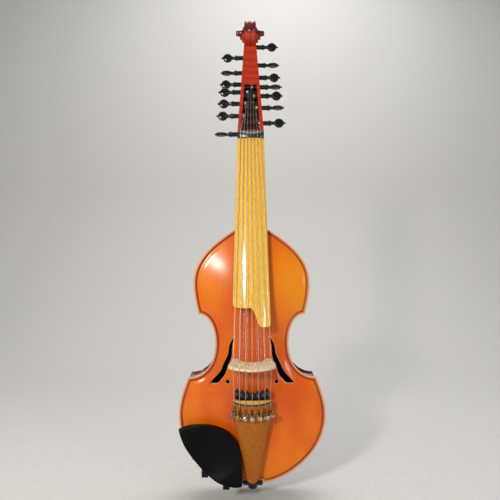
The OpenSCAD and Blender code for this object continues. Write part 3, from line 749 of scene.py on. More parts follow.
def peg(side, number, height, depth, turn):
    """A turned peg: taper, collar, waist, a head pressed flat and dished for the thumb, and a ball."""
    name = f"peg_{side}_{number}"
    w = head_half(height)
    mid = w + 27.5
    profile = [(-w + 0.6, 0.01), (-w + 0.65, 2.4), (-w + 1.1, PEG_RADIUS - PEG_TAPER * w - 0.05)]
    profile += [(w + 11, PEG_RADIUS + PEG_TAPER * (w + 11))]
    profile += [(w + 11.02, 4.7), (w + 11.3, 5), (w + 12, 5.05), (w + 12.6, 4.9), (w + 13, 4.5)]
    profile += [(w + 13.1, 4.15), (w + 14.2, 3.4), (w + 16, 2.95), (w + 18, 2.85), (w + 19.6, 3.3)]
    profile += [(w + 20.6, 4.3)] + arc((mid, 0), 8.2, 144, 17, 16)
    profile += [(mid + 7.6, 1.5), (mid + 7.75, 1.3)] + arc((mid + 9.2, 0), 1.9, 132, 5, 7)
    profile += [(mid + 11.1, 0.01)]
    piece = turned(name, profile, 40)
    for vertex in piece.data.vertices:
        p = vertex.co / MM
        grown = min(max((p.z - w - 17) / 6.5, 0), 1) * min(max((mid + 7.6 - p.z) / 2.5, 0), 1)
        grown = grown * grown * (3 - 2 * grown)
        away = math.hypot(p.z - mid, p.x)
        dish = 0.9 * math.exp(-(away / 4.2) ** 2) * grown
        thick = abs(p.y) * (1 - 0.56 * grown)
        vertex.co.y = math.copysign(max(thick - dish * min(1, thick), 0), p.y) * MM
    out = Matrix.Rotation(math.radians(90), 4, "Y")
    upright = Matrix.Rotation(math.radians(turn), 4, "X")
    facing = Matrix.Rotation(math.pi if side == "bass" else 0, 4, "Z")
    at = Vector((0, head_front(height) + depth, height)) * MM
    piece.data.transform(Matrix.Translation(at) @ facing @ upright @ out)
    piece.data.update()
    done(piece, ebony_peg(), body=name, replaces=[name], angle=40)


BASS_PEGS = [(720.5, 7.9, 0), (695.5, 17, 90), (672.8, 17, 0), (653.5, 8, 0), (631.5, 8, 0), (608.5, 8, 0),
             (574.8, 8.2, 90)]
TREBLE_PEGS = [(741.9, 7.9, 0), (710.6, 17, 90), (686, 17, 0), (663, 8, 90), (646, 8, 0), (623.5, 8, 90),
               (595, 8, 0)]


def knurl(piece, radius, depth, low, high, count):
    """Presses grooves into a turned rim between two heights."""
    for vertex in piece.data.vertices:
        p = vertex.co / MM
        r = math.hypot(p.x, p.y)
        if low < p.z < high and r > radius * 0.9:
            turn = math.atan2(p.y, p.x)
            cut = depth * (0.5 + 0.5 * math.cos(count * turn))
            vertex.co.x *= (r - cut) / r
            vertex.co.y *= (r - cut) / r


def tuner_screw(i):
    """A fine tuner's screw: a knurled head on a rod."""
    name = f"tuner_screw_{i + 1}"
    profile = [(35.4, 0.01), (35.4, 1.1), (35.7, 1.38), (48.6, 1.38), (48.7, 2.9), (49, 3.45), (49.3, 3.6),
               (51.2, 3.6), (51.6, 3.4), (51.9, 2.9), (52.3, 2.2), (52.55, 1.1), (52.6, 0.01)]
    piece = turned(name + "_head", profile, 72)
    knurl(piece, 3.6, 0.3, 48.9, 51.5, 24)
    lying = Matrix.Translation((0, 0, -24 * MM)) @ Matrix.Rotation(math.radians(90), 4, "X")
    piece.data.transform(tail_axes(i) @ lying)
    finish = nickel_plate() if i in (0, 2, 3, 5) else screw_brass()
    done(piece, finish, body=name, replaces=[name], angle=35)


def tuner_lever(i):
    """The brass arm that a screw presses on."""
    name = f"tuner_lever_{i + 1}"
    done(from_node(name, name + "_arm", 0.2), lever_brass(), body=name, replaces=[name])


def knob(i):
    """A grooved black bead that tunes one sympathetic string."""
    name = f"sympathetic_knob_{i + 1}"
    profile = [(3.5, 1.3), (3.5, 2.6), (3.75, 3.1), (4.3, 3.6), (5.2, 3.88), (7.3, 3.9), (9.4, 3.88),
               (10.3, 3.6), (10.8, 3.1), (11.05, 2.5), (11.1, 1.3), (3.5, 1.3)]
    piece = turned(name + "_bead", profile, 72)
    knurl(piece, 3.9, 0.42, 4.4, 10.2, 12)
    piece.data.transform(tail_axes(i) @ Matrix.Translation((0, -36 * MM, 0)))
    done(piece, knob_lacquer(), body=name, replaces=[name], angle=40)


def tuner_frames():
    """The fine tuners' bodies, and the rail that the knobs' rods stand on."""
    done(from_node("tuner_frames", "frames", 0.3), nickel_plate(), replaces=["tuner_frames"])
    done(from_node("sympathetic_rail", "rail", 0.25), black_steel(), replaces=["sympathetic_rail"])


def end_button():
    """The turned button that closes the tail and holds the cord."""
    profile = [(-4, 0.01), (-3.95, 2.5), (-3.6, 4.8), (-3.0, 6.4), (-2.2, 7.3), (-1.4, 7.5), (1.5, 7.5),
               (2.4, 7.2), (3.4, 6.4), (4.2, 5.3), (4.9, 5), (8.4, 5), (9.2, 5.4), (10, 6.2), (11, 6.75),
               (13.6, 6.8), (14.2, 6.4), (14.45, 5.8), (14.45, 4), (33.6, 3.95), (34, 3.6), (34, 0.01)]
    done(turned("button", profile, 64), ebony("polished_ebony_button"), replaces=["end_button"])


def saddle():
    """The ebony block that the cord crosses."""
    done(from_node("saddle", "saddle_block", 0.5, 3), ebony("polished_ebony_saddle"),
         replaces=["saddle"])


# ---------- chin rest ----------
def chin_rest():
    """The dished cup on its foot, and the cork under the foot."""
    cup = line((-112, 91), ((-95, 100), (-60, 101), (-40, 88), 26), ((-25, 77), (-18, 60), (-17, 42), 20),
               ((-16, 28), (-14, 14), (-16, 8), 14), ((-20, 4), (-40, 6), (-54, 14), 16),
               ((-80, 28), (-106, 62), (-112, 91), 30))[:-1]
    cup = filled_out([(p[0], p[1] + TAIL_EDGE) for p in cup], 2)

    rim_y, under_y = -53.0, -41
    dish_x, dish_z, dish_radius, dish_centre_y = -62, 68, 116, -161
    blend = 2.2

    def front(x, z, edge):
        away = (x - dish_x) ** 2 + (z - dish_z) ** 2
        dish = dish_centre_y + np.sqrt(np.maximum(dish_radius ** 2 - away, 1))
        hollowed = rim_y + np.logaddexp(0, (dish - rim_y) * blend) / blend
        return np.where(edge > 0, hollowed, rim_y) + round_over(edge, 2.6) * 1.1

    def back(x, z, edge):
        return under_y - round_over(edge, 2.2) + 0 * x

    parts = [carve("cup", cup, front, back, (), (0.15, 0.5, 1.1, 1.9, 2.6, 4), 3.4)]
    outer, inner = inset(OUTLINE, 0.6), inset(OUTLINE, 6)

    def strip(loop):
        return sorted([tuple(p) for p in loop if -78 < p[0] < -34 and p[1] < 60], reverse=True)

    foot = filled_out(strip(outer) + strip(inner)[::-1], 2)
    parts.append(carve("foot", foot, lambda x, z, e: -42.5 + 0 * x, lambda x, z, e: -27 - round_over(e, 0.5),
                       (), (0.15, 0.5), 4))
    piece = joined(parts, "chin_rest_cup")
    done(piece, chin_ebony(), replaces=["chin_rest"], angle=40)
    cork = carve("chin_rest_cork", foot, lambda x, z, e: -27.1 + 0.3 * (e < 0.01),
                 lambda x, z, e: -25.6 - 0.3 * (e < 0.01), (), (0.3, 1), 4)
    done(cork, cork_sheet())


POSTS = [(-40, 3.4), (-72.6, 21.3)]


def chin_clamp():
    """The posts and plates of the clamp, and the two barrels that tighten it."""
    piece = from_node("chin_rest_clamp", "clamp", 0.3)
    piece.data.materials.append(black_steel())
    piece.data.materials.append(cork_sheet())
    for face in piece.data.polygons:
        y = face.center.y / MM
        face.material_index = int(EDGE_PLANE < y < EDGE_PLANE + 1.38 and face.center.z / MM > 12)
    done(piece, None, replaces=["chin_rest_clamp"])
    for k, (x, up) in enumerate(POSTS):
        name = f"chin_rest_barrel_{k + 1}"
        half = [(0, 3.2), (1.6, 3.2), (1.9, 3.4), (12.6, 3.4), (13, 3.1), (13.4, 3.1), (13.8, 3.4),
                (14.6, 3.4), (15, 3.1), (15, 1.96)]
        profile = [(-h, r) for h, r in half[::-1]] + half[1:] + [(-15, 1.96)]
        barrel = turned(name + "_tube", profile, 48)
        pin = turned("pin_hole", [(-6, 0.01), (-6, 0.9), (6, 0.9), (6, 0.01)], 20)
        for at in (-8, 0, 8):
            cutter = pin.copy()
            cutter.data = pin.data.copy()
            bpy.context.collection.objects.link(cutter)
            turn = Matrix.Rotation(math.radians(90), 4, "X" if at else "Y")
            cutter.data.transform(Matrix.Translation((0, 0, at * MM)) @ turn)
            apply_modifier(barrel, "BOOLEAN", operation="DIFFERENCE", object=cutter, solver="EXACT")
            bpy.data.objects.remove(cutter)
        bpy.data.objects.remove(pin)
        lying = Matrix.Rotation(math.radians(90), 4, "X")
        barrel.data.transform(Matrix.Translation((x * MM, 0, (TAIL_EDGE + up) * MM)) @ lying)
        done(barrel, black_steel(), body=name, replaces=[name])


# ---------- strings and cord ----------
def tube(name, points, radius, sides=10):
    """A round line through points in mm, as a closed mesh."""
    curve = bpy.data.curves.new(name, "CURVE")
    curve.dimensions = "3D"
    curve.bevel_depth = radius * MM
    curve.bevel_resolution = max(1, sides // 4 - 1)
    curve.use_fill_caps = True
    spline = curve.splines.new("POLY")
    spline.points.add(len(points) - 1)
    for point, at in zip(spline.points, points):
        point.co = (at[0] * MM, at[1] * MM, at[2] * MM, 1)
    piece = bpy.data.objects.new(name, curve)
    bpy.context.collection.objects.link(piece)
    only(piece)
    bpy.ops.object.convert(target="MESH")
    return bpy.context.object


def eased(points, reach=3, steps=4):
    """A path with its bends rounded."""
    points = [Vector(p) for p in points]
    out = [points[0]]
    for a, b, c in zip(points, points[1:], points[2:]):
        before = b + (a - b).normalized() * min(reach, (a - b).length * 0.4)
        after = b + (c - b).normalized() * min(reach, (c - b).length * 0.4)
        out += [before.lerp(b, t / steps).lerp(b.lerp(after, t / steps), t / steps) for t in range(steps + 1)]
    return out + [points[-1]]


PLAY_PEGS = [("bass", 6), ("bass", 5), ("bass", 4), ("treble", 4), ("treble", 5), ("treble", 6),
             ("treble", 7)]
PLAY_X = [-10.5, -7, -3.5, 0.5, 4.5, 8.5, 12.5]
SYMPATHETIC_PEGS = [("bass", 7), ("bass", 3), ("bass", 2), ("bass", 1), ("treble", 1), ("treble", 2),
                    ("treble", 3)]
SYMPATHETIC_X = [-9, -5.5, -3.4, -1.6, 1.2, 3, 5]
NUT_SPACING = 5.6
GAUGE = [0.52, 0.48, 0.43, 0.4, 0.37, 0.34, 0.3]
THIN = 0.25


def peg_place(side, number):
    """The depth and height of a peg's axis."""
    height, depth, _ = (BASS_PEGS if side == "bass" else TREBLE_PEGS)[number - 1]
    return head_front(height) + depth, height


def nut_y(x):
    """The depth of the nut's curved top."""
    return -26.3 + 50 - math.sqrt(50 ** 2 - x * x)


def nut_fall(x):
    """Where the nut's top starts to fall under a string."""
    return NUT_Z + 5 + (nut_y(x) + 26.3) * 8.3 / (26.3 + NUT_BACK)


def winding(name, side, number, x, gauge):
    """The turns of a string's end round its peg."""
    y, z = peg_place(side, number)
    outward = -1 if side == "bass" else 1
    shaft = PEG_RADIUS + PEG_TAPER * x * outward
    points = []
    turns, per_turn = 4.5, 22
    for k in range(int(turns * per_turn) + 1):
        a = math.tau * k / per_turn
        r = shaft + gauge * 0.75
        points.append((x + outward * gauge * 2.05 * k / per_turn, y - r * math.cos(a), z + r * math.sin(a)))
    piece = tube(name, points, gauge, 8)
    done(piece, wound_string(), body=f"peg_{side}_{number}", angle=60)


def playing_strings():
    """From each tuner over the fret, the bridge and the nut to a peg."""
    parts = []
    for i in range(STRINGS):
        x, nx = (i - MIDDLE) * STRING_SPACING, (i - MIDDLE) * NUT_SPACING
        side, number = PLAY_PEGS[i]
        y, z = peg_place(side, number)
        g = GAUGE[i]
        crown = crown_at(x) - g * 0.6
        path = [tail_point(42.1, -17.4, i), tail_point(43.75, -13, i), tail_point(43.3 + g, -6.2, i),
                (x, crown, bridge_low(crown) - 0.2), (x, crown, bridge_high(crown) + 0.2),
                (nx, nut_y(nx) - g * 0.6, NUT_Z), (nx, nut_y(nx) - g * 0.9, nut_fall(nx)),
                (nx, NUT_BACK - g - 0.25, NUT_Z + 13.5), (PLAY_X[i], y - PEG_RADIUS - g, z)]
        parts.append(tube(f"string_{i + 1}", eased(path, 2), g, 10))
        winding(f"winding_play_{i + 1}", side, number, PLAY_X[i], min(g, 0.4))
    piece = joined(parts, "strings_bowed")
    done(piece, wound_string(), replaces=["playing_strings"], angle=60)


def sympathetic_strings():
    """From each knob through the bridge and under the fingerboard to a peg."""
    parts = []
    for i in range(STRINGS):
        x = (i - MIDDLE) * THIN_SPACING
        side, number = SYMPATHETIC_PEGS[i]
        y, z = peg_place(side, number)
        behind = i in (0, 3, 4)
        path = [tail_point(36, 12, i), tail_point(36, 14.2, i), (x, -57, 199.5),
                ((i - MIDDLE) * 2.9, -11.5, 563), (SYMPATHETIC_X[i], -5.2, 572)]
        path += [(SYMPATHETIC_X[i], y + (1 if behind else -1) * (PEG_RADIUS + THIN + 0.2), z)]
        parts.append(tube(f"thin_{i + 1}", eased(path, 2), THIN, 8))
        winding(f"winding_thin_{i + 1}", side, number, SYMPATHETIC_X[i], THIN)
    piece = joined(parts, "strings_sympathetic")
    done(piece, plain_wire(), replaces=["sympathetic_strings"], angle=60)


def tail_gut():
    """Down both sides of the tailpiece's tip, over the saddle and round the button."""
    strand = [(4, -38.4, 35), (4, -34, 35), (4, -33.2, 33.6), (4, -30.9, 20), (4, -30.45, 17),
              (4, -30.45, 13.2), (4.1, -29, 10.7), (4.6, -18, 9)]
    loop = [(6 * math.cos(math.tau * k / 36), 6 * math.sin(math.tau * k / 36), 7.8) for k in range(19)]
    path = eased(strand, 2) + loop + [(-p[0], p[1], p[2]) for p in eased(strand, 2)[::-1]]
    piece = tube("tail_cord", path, 0.9, 12)
    done(piece, tail_cord(), replaces=["tail_gut"], angle=60)


# ---------- materials ----------
def linear(code):
    """An sRGB hex colour as the linear colour that a shader takes."""
    parts = [int(code[k:k + 2], 16) / 255 for k in (1, 3, 5)]
    return tuple(c / 12.92 if c <= 0.04045 else ((c + 0.055) / 1.055) ** 2.4 for c in parts) + (1,)


def feed(node, inputs):
    """Gives a node's inputs their values, their hex colours or links from other nodes' outputs."""
    for key, value in inputs.items():
        if isinstance(value, bpy.types.NodeSocket):
            node.id_data.links.new(value, node.inputs[key])
        else:
            node.inputs[key].default_value = linear(value) if isinstance(value, str) else value


def add(tree, kind, inputs, out=0, stops=(), **settings):
    """Adds a node with its settings and links, and a ramp's (place, hex) stops. Returns one output."""
    node = tree.nodes.new("ShaderNode" + kind)
    for key, value in settings.items():
        setattr(node, key, value)
    feed(node, inputs)
    for _ in stops[2:]:
        node.color_ramp.elements.new(0.5)
    for k, (place, code) in enumerate(stops):
        node.color_ramp.elements[k].position = place
        node.color_ramp.elements[k].color = linear(code)
    return node.outputs[out]


def new_material(name):
    """An empty material, its nodes, its shader and the piece's own coordinates."""
    made = bpy.data.materials.new(name)
    made.use_nodes = True
    tree = made.node_tree
    return made, tree, tree.nodes["Principled BSDF"], add(tree, "TexCoord", {}, "Object")


def finish(shader, colour, height, strength, depth, values):
    """Gives the shader its colour, a relief of so many mm and its other values."""
    relief = add(shader.id_data, "Bump", {"Height": height, "Strength": strength, "Distance": depth * MM})
    feed(shader, {"Base Color": colour, "Normal": relief, **values})


def bands(spacing):
    """The Wave node's scale for bands this many mm apart."""
    return 0.1 * math.pi / (spacing * MM)


def per(size):
    """The scale for a pattern whose spots are this many mm across."""
    return 1 / (size * MM)


def fibres(tree, coords, across, along, axis="Z", detail=3):
    """Noise drawn out along one axis: across and along are the sizes of its grain in mm."""
    scale = [per(along if name == axis else across) for name in "XYZ"]
    mapped = add(tree, "Mapping", {"Vector": coords, "Scale": scale})
    return add(tree, "TexNoise", {"Vector": mapped, "Scale": 1, "Detail": detail, "Roughness": 0.6})


def distance_from(tree, coords, centre, reach):
    """How far a point is from a centre on the front, in shares of the reach across and up, in mm."""
    scale = (per(reach[0]), 0, per(reach[1]))
    place = (-centre[0] * MM * scale[0], 0, -centre[1] * MM * scale[2])
    mapped = add(tree, "Mapping", {"Vector": coords, "Location": place, "Scale": scale})
    return add(tree, "VectorMath", {0: mapped}, "Value", operation="LENGTH")


def varnished(roughness, coat, coat_roughness):
    """Wood with little shine of its own under a clear coat of oil varnish."""
    return {"Roughness": roughness, "Specular IOR Level": 0.12, "IOR": 1.5, "Coat Weight": coat,
            "Coat Roughness": coat_roughness, "Coat IOR": 1.52}


@cache
def spruce_varnish():
    """Quarter-sawn spruce under amber oil varnish: fine straight year lines that run with the strings,
    redder varnish where it lies thick in the middle, a golden patch of painted light on the treble upper
    bout for the brighter light there, darker inside the rim from varnish gathered in the channel and from
    painted shade in the channel, and none on the worn edges."""
    made, tree, shader, coords = new_material("spruce_amber_varnish")
    waves = add(tree, "TexWave", {"Vector": coords, "Scale": bands(2.3), "Distortion": 0.9, "Detail": 2,
                                  "Detail Scale": 0.35}, "Fac", wave_type="BANDS", bands_direction="X")
    year_lines = add(tree, "Math", {0: waves, 1: 1.6}, operation="POWER")
    fibre = fibres(tree, coords, 0.9, 60)
    cloud = fibres(tree, coords, 55, 110, detail=1)
    amber = add(tree, "ValToRGB", {0: cloud}, stops=[(0.3, "#D26004"), (0.5, "#DE7606"), (0.72, "#EA9010")])
    streak = add(tree, "ValToRGB", {0: fibre}, stops=[(0.3, "#C4500A"), (0.7, "#F2952A")])
    colour = add(tree, "Mix", {0: 0.5, 6: amber, 7: streak}, 2, data_type="RGBA", blend_type="SOFT_LIGHT")
    middle = distance_from(tree, coords, (0, 204.5), (76.9, 151.5))
    # Painted light: a golden patch centred on the treble upper bout stands for the brighter light that falls
    # there.
    from_treble_light_spot = distance_from(tree, coords, (76.5, 323.1), (58.8, 76.9))
    rim = add(tree, "Attribute", {}, "Fac", attribute_name="from_rim")
    edge = add(tree, "Attribute", {}, "Fac", attribute_name="from_edge")
    ragged_rim = add(tree, "Math", {0: fibre, 1: 0.8, 2: rim}, operation="MULTIPLY_ADD")
    # A darker band about 4.6 mm inside the rim, over the channel: partly varnish gathered there and partly
    # painted shade of the channel.
    from_channel_middle = add(tree, "Math", {0: rim, 1: 4.6}, operation="SUBTRACT")
    off_channel_middle = add(tree, "Math", {0: from_channel_middle}, operation="ABSOLUTE")
    red, paler_patch, worn, cut, channel_pool_and_shade = [
        add(tree, "MapRange", {"Value": value, "From Min": full, "From Max": gone, "To Min": most,
                               "To Max": 0}, interpolation_type="SMOOTHSTEP")
        for value, full, gone, most in ((middle, 0.25, 1.3, 0.5), (from_treble_light_spot, 0.2, 1.15, 0.7),
                                        (ragged_rim, 2, 3.1, 0.85), (edge, 0.3, 1.1, 0.6),
                                        (off_channel_middle, 0.6, 3, 0.6))]
    lined = add(tree, "MapRange", {"Value": year_lines, "To Max": 0.34})
    bare = add(tree, "Math", {0: worn, 1: cut}, operation="MAXIMUM")
    # The golden #F79E12 patch is painted light. The dark #8E2E04 band is varnish gathered in the channel,
    # darkened further as painted shade.
    for share, code in ((red, "#C94A04"), (paler_patch, "#F79E12"), (lined, "#A84A08"), (channel_pool_and_shade, "#8E2E04"),
                        (bare, "#DDA27C")):
        colour = add(tree, "Mix", {0: share, 6: colour, 7: code}, 2, data_type="RGBA")
    finish(shader, colour, year_lines, 0.12, 0.12, varnished(0.42, 0.44, 0.15))
    return made


def flamed(name, dark, light, stripe, axis, spacing, coat_roughness=0.07, round_body=False):
    """Maple whose fibres ripple, so that bands of light and dark cross its length."""
    made, tree, shader, coords = new_material(name)
    if round_body:
        along = add(tree, "Attribute", {}, "Fac", attribute_name="along")
        metres = add(tree, "Math", {0: along, 1: MM}, operation="MULTIPLY")
        depth = add(tree, "SeparateXYZ", {0: coords}, "Y")
        coords = add(tree, "CombineXYZ", {0: metres, 1: depth, 2: depth})
    warp = add(tree, "TexNoise", {"Vector": coords, "Scale": per(71.43), "Detail": 2}, "Color")
    push = add(tree, "VectorMath", {0: warp, "Scale": 0.02}, operation="SCALE")
    bent = add(tree, "VectorMath", {0: coords, 1: push}, operation="ADD")
    flame = add(tree, "TexWave", {"Vector": bent, "Scale": bands(spacing), "Distortion": 2.2, "Detail": 3,
                                  "Detail Scale": 0.6}, "Fac", wave_type="BANDS", bands_direction=axis)
    patch = add(tree, "TexNoise", {"Vector": coords, "Scale": per(35.71), "Detail": 1})
    pore = fibres(tree, coords, 0.5, 14, "Z" if axis == "X" else "X", 2)
    strength = add(tree, "MapRange", {"Value": patch, "From Min": 0.35, "From Max": 0.65, "To Min": 0.35})
    figure = add(tree, "Math", {0: flame, 1: strength}, operation="MULTIPLY")
    base = add(tree, "ValToRGB", {0: figure}, stops=[(0.1, dark), (0.5, light), (0.9, stripe)])
    pores = add(tree, "ValToRGB", {0: pore}, stops=[(0.35, dark), (0.6, stripe)])
    colour = add(tree, "Mix", {0: 0.35, 6: base, 7: pores}, 2, data_type="RGBA", blend_type="SOFT_LIGHT")
    finish(shader, colour, pore, 0.08, 0.1, varnished(0.38, 0.9, coat_roughness))
    return made


@cache
def maple_varnish():
    """The back: maple with a broad flame under deep red-brown varnish."""
    return flamed("flamed_maple_red_varnish", "#4E1207", "#74200C", "#9A3A14", "Z", 9)


@cache
def rib_maple():
    """The sides: the same maple, bent, so that its flame crosses them from plate to plate."""
    return flamed("rib_maple_red_varnish", "#4A1008", "#6E1C0E", "#8E3016", "X", 7, round_body=True)


@cache
def head_varnish():
    """Neck and pegbox: maple under orange-red varnish."""
    return flamed("head_maple_orange_varnish", "#A83006", "#B43808", "#BC400C", "Z", 13)


@cache
def scroll_varnish():
    """The scroll: the same varnish, laid thick and dark in the carving."""
    return flamed("scroll_maple_red_varnish", "#5E1006", "#7E1A08", "#94260C", "Z", 11, 0.06)


@cache
def board_maple():
    """The fingerboard: straight-grained maple stained gold, with small dark flecks, polished by use."""
    made, tree, shader, coords = new_material("board_golden_maple")
    fibre = fibres(tree, coords, 1.1, 90, detail=4)
    fleck = fibres(tree, coords, 0.8, 9, detail=2)
    base = add(tree, "ValToRGB", {0: fibre}, stops=[(0.3, "#E2A034"), (0.5, "#F0BC48"), (0.7, "#FAD066")])
    marks = add(tree, "MapRange", {"Value": fleck, "From Min": 0.63, "From Max": 0.74, "To Max": 0.5})
    colour = add(tree, "Mix", {0: marks, 6: base, 7: "#A8681A"}, 2, data_type="RGBA")
    finish(shader, colour, fibre, 0.1, 0.1, varnished(0.34, 0.8, 0.09))
    return made


@cache
def tail_maple():
    """The tailpiece: maple with a weak flame under yellow-brown varnish, paler in a band at its top."""
    made, tree, shader, coords = new_material("tailpiece_brown_maple")
    fibre = fibres(tree, coords, 0.8, 30, detail=4)
    flame = add(tree, "TexWave", {"Vector": coords, "Scale": bands(5), "Distortion": 5, "Detail": 3,
                                  "Detail Scale": 1.6}, "Fac", wave_type="BANDS", bands_direction="Z")
    base = add(tree, "ValToRGB", {0: fibre}, stops=[(0.3, "#8E4C04"), (0.52, "#A65E0A"), (0.72, "#BA7418")])
    light = add(tree, "ValToRGB", {0: flame}, stops=[(0.2, "#7E4A0A"), (0.8, "#D49A3C")])
    figured = add(tree, "Mix", {0: 0.15, 6: base, 7: light}, 2, data_type="RGBA", blend_type="OVERLAY")
    height = add(tree, "SeparateXYZ", {0: coords}, "Z")
    # Paler colour in a band at the top.
    paler_patch = add(tree, "MapRange", {"Value": height, "From Min": 140.5 * MM, "From Max": 143.5 * MM,
                                    "To Max": 0.75})
    colour = add(tree, "Mix", {0: paler_patch, 6: figured, 7: "#E0B060"}, 2, data_type="RGBA")
    finish(shader, colour, fibre, 0.12, 0.1, varnished(0.42, 0.4, 0.18))
    return made


@cache
def bridge_maple():
    """Unvarnished maple, quarter-sawn: pale, with short brown ray flecks."""
    made, tree, shader, coords = new_material("bridge_quartered_maple")
    fibre = fibres(tree, coords, 0.7, 12, "X")
    fleck = fibres(tree, coords, 0.7, 2.4, "X", 1)
    base = add(tree, "ValToRGB", {0: fibre}, stops=[(0.3, "#ECD0A0"), (0.55, "#FAE6C0"), (0.75, "#FFF2D8")])
    marks = add(tree, "MapRange", {"Value": fleck, "From Min": 0.52, "From Max": 0.6, "To Max": 0.85})
    colour = add(tree, "Mix", {0: marks, 6: base, 7: "#94643A"}, 2, data_type="RGBA")
    finish(shader, colour, fleck, 0.1, 0.1, {"Roughness": 0.6})
    return made


@cache
def raw_spruce():
    """Bare split spruce inside the body."""
    made, tree, shader, coords = new_material("raw_spruce")
    fibre = fibres(tree, coords, 0.8, 40)
    colour = add(tree, "ValToRGB", {0: fibre}, stops=[(0.3, "#C79A62"), (0.7, "#E6C896")])
    finish(shader, colour, fibre, 0.2, 0.15, {"Roughness": 0.75})
    return made


def dark_wood(name, deep, worn, roughness, coat, streak_length=30, shine=0.5):
    """Nearly black wood, with faint brown streaks that show where it is polished."""
    made, tree, shader, coords = new_material(name)
    streak = fibres(tree, coords, 0.6, streak_length, "Z", 4)
    smudge = add(tree, "TexNoise", {"Vector": coords, "Scale": per(11.11), "Detail": 3})
    colour = add(tree, "ValToRGB", {0: streak}, stops=[(0.4, deep), (0.8, worn)])
    rough = add(tree, "MapRange", {"Value": smudge, "To Min": roughness - 0.06, "To Max": roughness + 0.08})
    finish(shader, colour, streak, 0.06, 0.08, {"Roughness": rough, "Specular IOR Level": shine,
                                                "Coat Weight": coat, "Coat Roughness": 0.08})
    return made


@cache
def ebony(use):
    """Ebony made smooth by rubbing with oil."""
    return dark_wood(use, "#0B0808", "#2A1C16", 0.34, 0.25)


@cache
def ebony_peg():
    """Ebony turned and polished on the lathe: sharp highlights."""
    return dark_wood("turned_ebony", "#040406", "#16100E", 0.26, 0.4, 8, 0.3)


@cache
def chin_ebony():
    """The chin rest's ebony, dulled to satin by use."""
    return dark_wood("satin_ebony", "#020203", "#080707", 0.42, 0.0, 30, 0.12)


@cache
def dyed_pear():
    """Pear wood dyed black."""
    return dark_wood("dyed_pear", "#170A05", "#2E170B", 0.45, 0.6)


@cache
def pale_poplar():
    """The middle ply of the purfling, yellowed under varnish."""
    made, tree, shader, coords = new_material("varnished_poplar")
    mottle = add(tree, "TexNoise", {"Vector": coords, "Scale": per(3.333), "Detail": 2})
    colour = add(tree, "ValToRGB", {0: mottle}, stops=[(0.3, "#5A2C0C"), (0.7, "#6E3A12")])
    feed(shader, {"Base Color": colour, **varnished(0.4, 0.8, 0.08)})
    return made


def metal(name, colour, tarnish, roughness):
    """A plated or plain metal with fine scratches and dulled patches."""
    made, tree, shader, coords = new_material(name)
    patch = add(tree, "TexNoise", {"Vector": coords, "Scale": per(3.846), "Detail": 4})
    scratch = fibres(tree, coords, 0.12, 2.5, "X", 2)
    dulled = add(tree, "ValToRGB", {0: patch}, stops=[(0.35, tarnish), (0.6, colour)])
    rough = add(tree, "MapRange", {"Value": patch, "To Min": roughness + 0.14, "To Max": roughness - 0.06})
    finish(shader, dulled, scratch, 0.08, 0.03, {"Roughness": rough, "Metallic": 1})
    return made


@cache
def nickel_plate():
    """Nickel plate on brass, slightly warm."""
    return metal("nickel_plate", "#CFCABD", "#8E8674", 0.24)


@cache
def screw_brass():
    """Brass whose plate has worn off."""
    return metal("worn_brass", "#E2C27A", "#A07A34", 0.24)


@cache
def lever_brass():
    """Stamped brass."""
    return metal("stamped_brass", "#D2AC5C", "#8C6628", 0.3)


@cache
def black_steel():
    """Steel blued nearly black."""
    return metal("blued_steel", "#34343A", "#1C1A1C", 0.34)


@cache
def plain_wire():
    """Drawn steel wire."""
    return metal("drawn_wire", "#D8D4CA", "#A8A294", 0.22)


@cache
def wound_string():
    """A gut core wound with silver wire. The winding is drawn at 0.9 mm, three times its real pitch,
    because the real one is too fine to see."""
    made, tree, shader, coords = new_material("silver_wound_string")
    turns = add(tree, "TexWave", {"Vector": coords, "Scale": bands(0.9)}, "Fac", wave_type="BANDS",
                bands_direction="Z")
    colour = add(tree, "ValToRGB", {0: turns}, stops=[(0.2, "#8E8674"), (0.7, "#E4DED0")])
    finish(shader, colour, turns, 0.5, 0.1, {"Metallic": 1, "Roughness": 0.28})
    return made


@cache
def tail_cord():
    """Black nylon cord with a faint twist."""
    made, tree, shader, coords = new_material("nylon_tail_cord")
    twist = add(tree, "TexWave", {"Vector": coords, "Scale": bands(1.4), "Distortion": 1}, "Fac",
                wave_type="BANDS", bands_direction="DIAGONAL")
    colour = add(tree, "ValToRGB", {0: twist}, stops=[(0.2, "#100E0C"), (0.8, "#262220")])
    finish(shader, colour, twist, 0.3, 0.15, {"Roughness": 0.5})
    return made


@cache
def knob_lacquer():
    """Black lacquer on turned metal: deep and wet looking, with a few dull rubs."""
    made, tree, shader, coords = new_material("black_lacquer")
    rub = add(tree, "TexNoise", {"Vector": coords, "Scale": per(2.5), "Detail": 3})
    colour = add(tree, "ValToRGB", {0: rub}, stops=[(0.4, "#050507"), (0.8, "#14141A")])
    rough = add(tree, "MapRange", {"Value": rub, "To Min": 0.12, "To Max": 0.3})
    feed(shader, {"Base Color": colour, "Roughness": rough, "Coat Weight": 0.8, "Coat Roughness": 0.04})
    return made


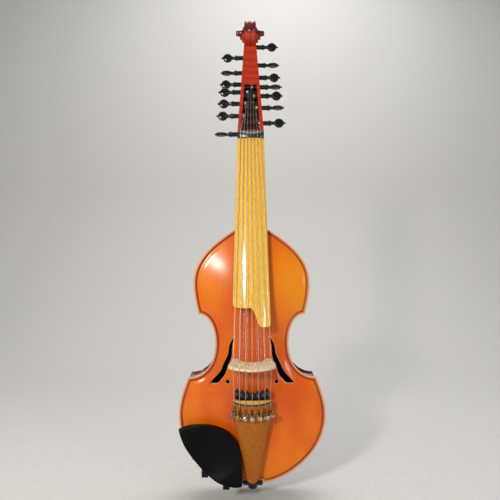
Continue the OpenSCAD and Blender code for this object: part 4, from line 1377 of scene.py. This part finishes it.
@cache
def cork_sheet():
    """Pressed cork: tan with dark pits."""
    made, tree, shader, coords = new_material("cork_sheet")
    cells = add(tree, "TexVoronoi", {"Vector": coords, "Scale": per(1.111)}, "Distance")
    pits = add(tree, "TexNoise", {"Vector": coords, "Scale": per(1.429), "Detail": 2})
    base = add(tree, "ValToRGB", {0: cells}, stops=[(0.1, "#A87848"), (0.6, "#CFA06C")])
    dark = add(tree, "MapRange", {"Value": pits, "From Min": 0.6, "From Max": 0.7, "To Max": 0.7})
    colour = add(tree, "Mix", {0: dark, 6: base, 7: "#5A3A20"}, 2, data_type="RGBA")
    finish(shader, colour, pits, 0.4, 0.2, {"Roughness": 0.85})
    return made


def paper():
    """A sheet of matt studio paper."""
    made, tree, shader, coords = new_material("studio_paper")
    tooth = add(tree, "TexNoise", {"Vector": coords, "Scale": per(8.333), "Detail": 2})
    colour = add(tree, "ValToRGB", {0: tooth}, stops=[(0.3, "#D6D4D0"), (0.7, "#DCDAD6")])
    feed(shader, {"Base Color": colour, "Roughness": 0.9})
    return made


# ---------- the whole instrument ----------
make_camera()
make_world()
make_floor()
make_light("key", (-0.6, -1.28, 0.74), (0, 0, 0.33), 0.2, 14, (1, 0.96, 0.9))
make_light("fill", (1.2, -1.3, 0.45), (0, 0, 0.3), 0.3, 3.5)
make_light("sky", (0.2, 0.5, 2.3), (0, 0.7, 0), 2.0, 30)

top_plate()
back_plate()
purfling()
ribs()
neck()
scroll()
fingerboard()
nut()
bridge()
tailpiece()
tuner_frames()
for string in range(STRINGS):
    tuner_screw(string)
    tuner_lever(string)
    knob(string)
for number, (height, depth, turn) in enumerate(BASS_PEGS, 1):
    peg("bass", number, height, depth, turn)
for number, (height, depth, turn) in enumerate(TREBLE_PEGS, 1):
    peg("treble", number, height, depth, turn)
end_button()
saddle()
chin_rest()
chin_clamp()
playing_strings()
sympathetic_strings()
tail_gut()
for inner in ("linings", "blocks", "bass_bar", "sound_post"):
    NODES[inner].data.materials.clear()
    NODES[inner].data.materials.append(raw_spruce())
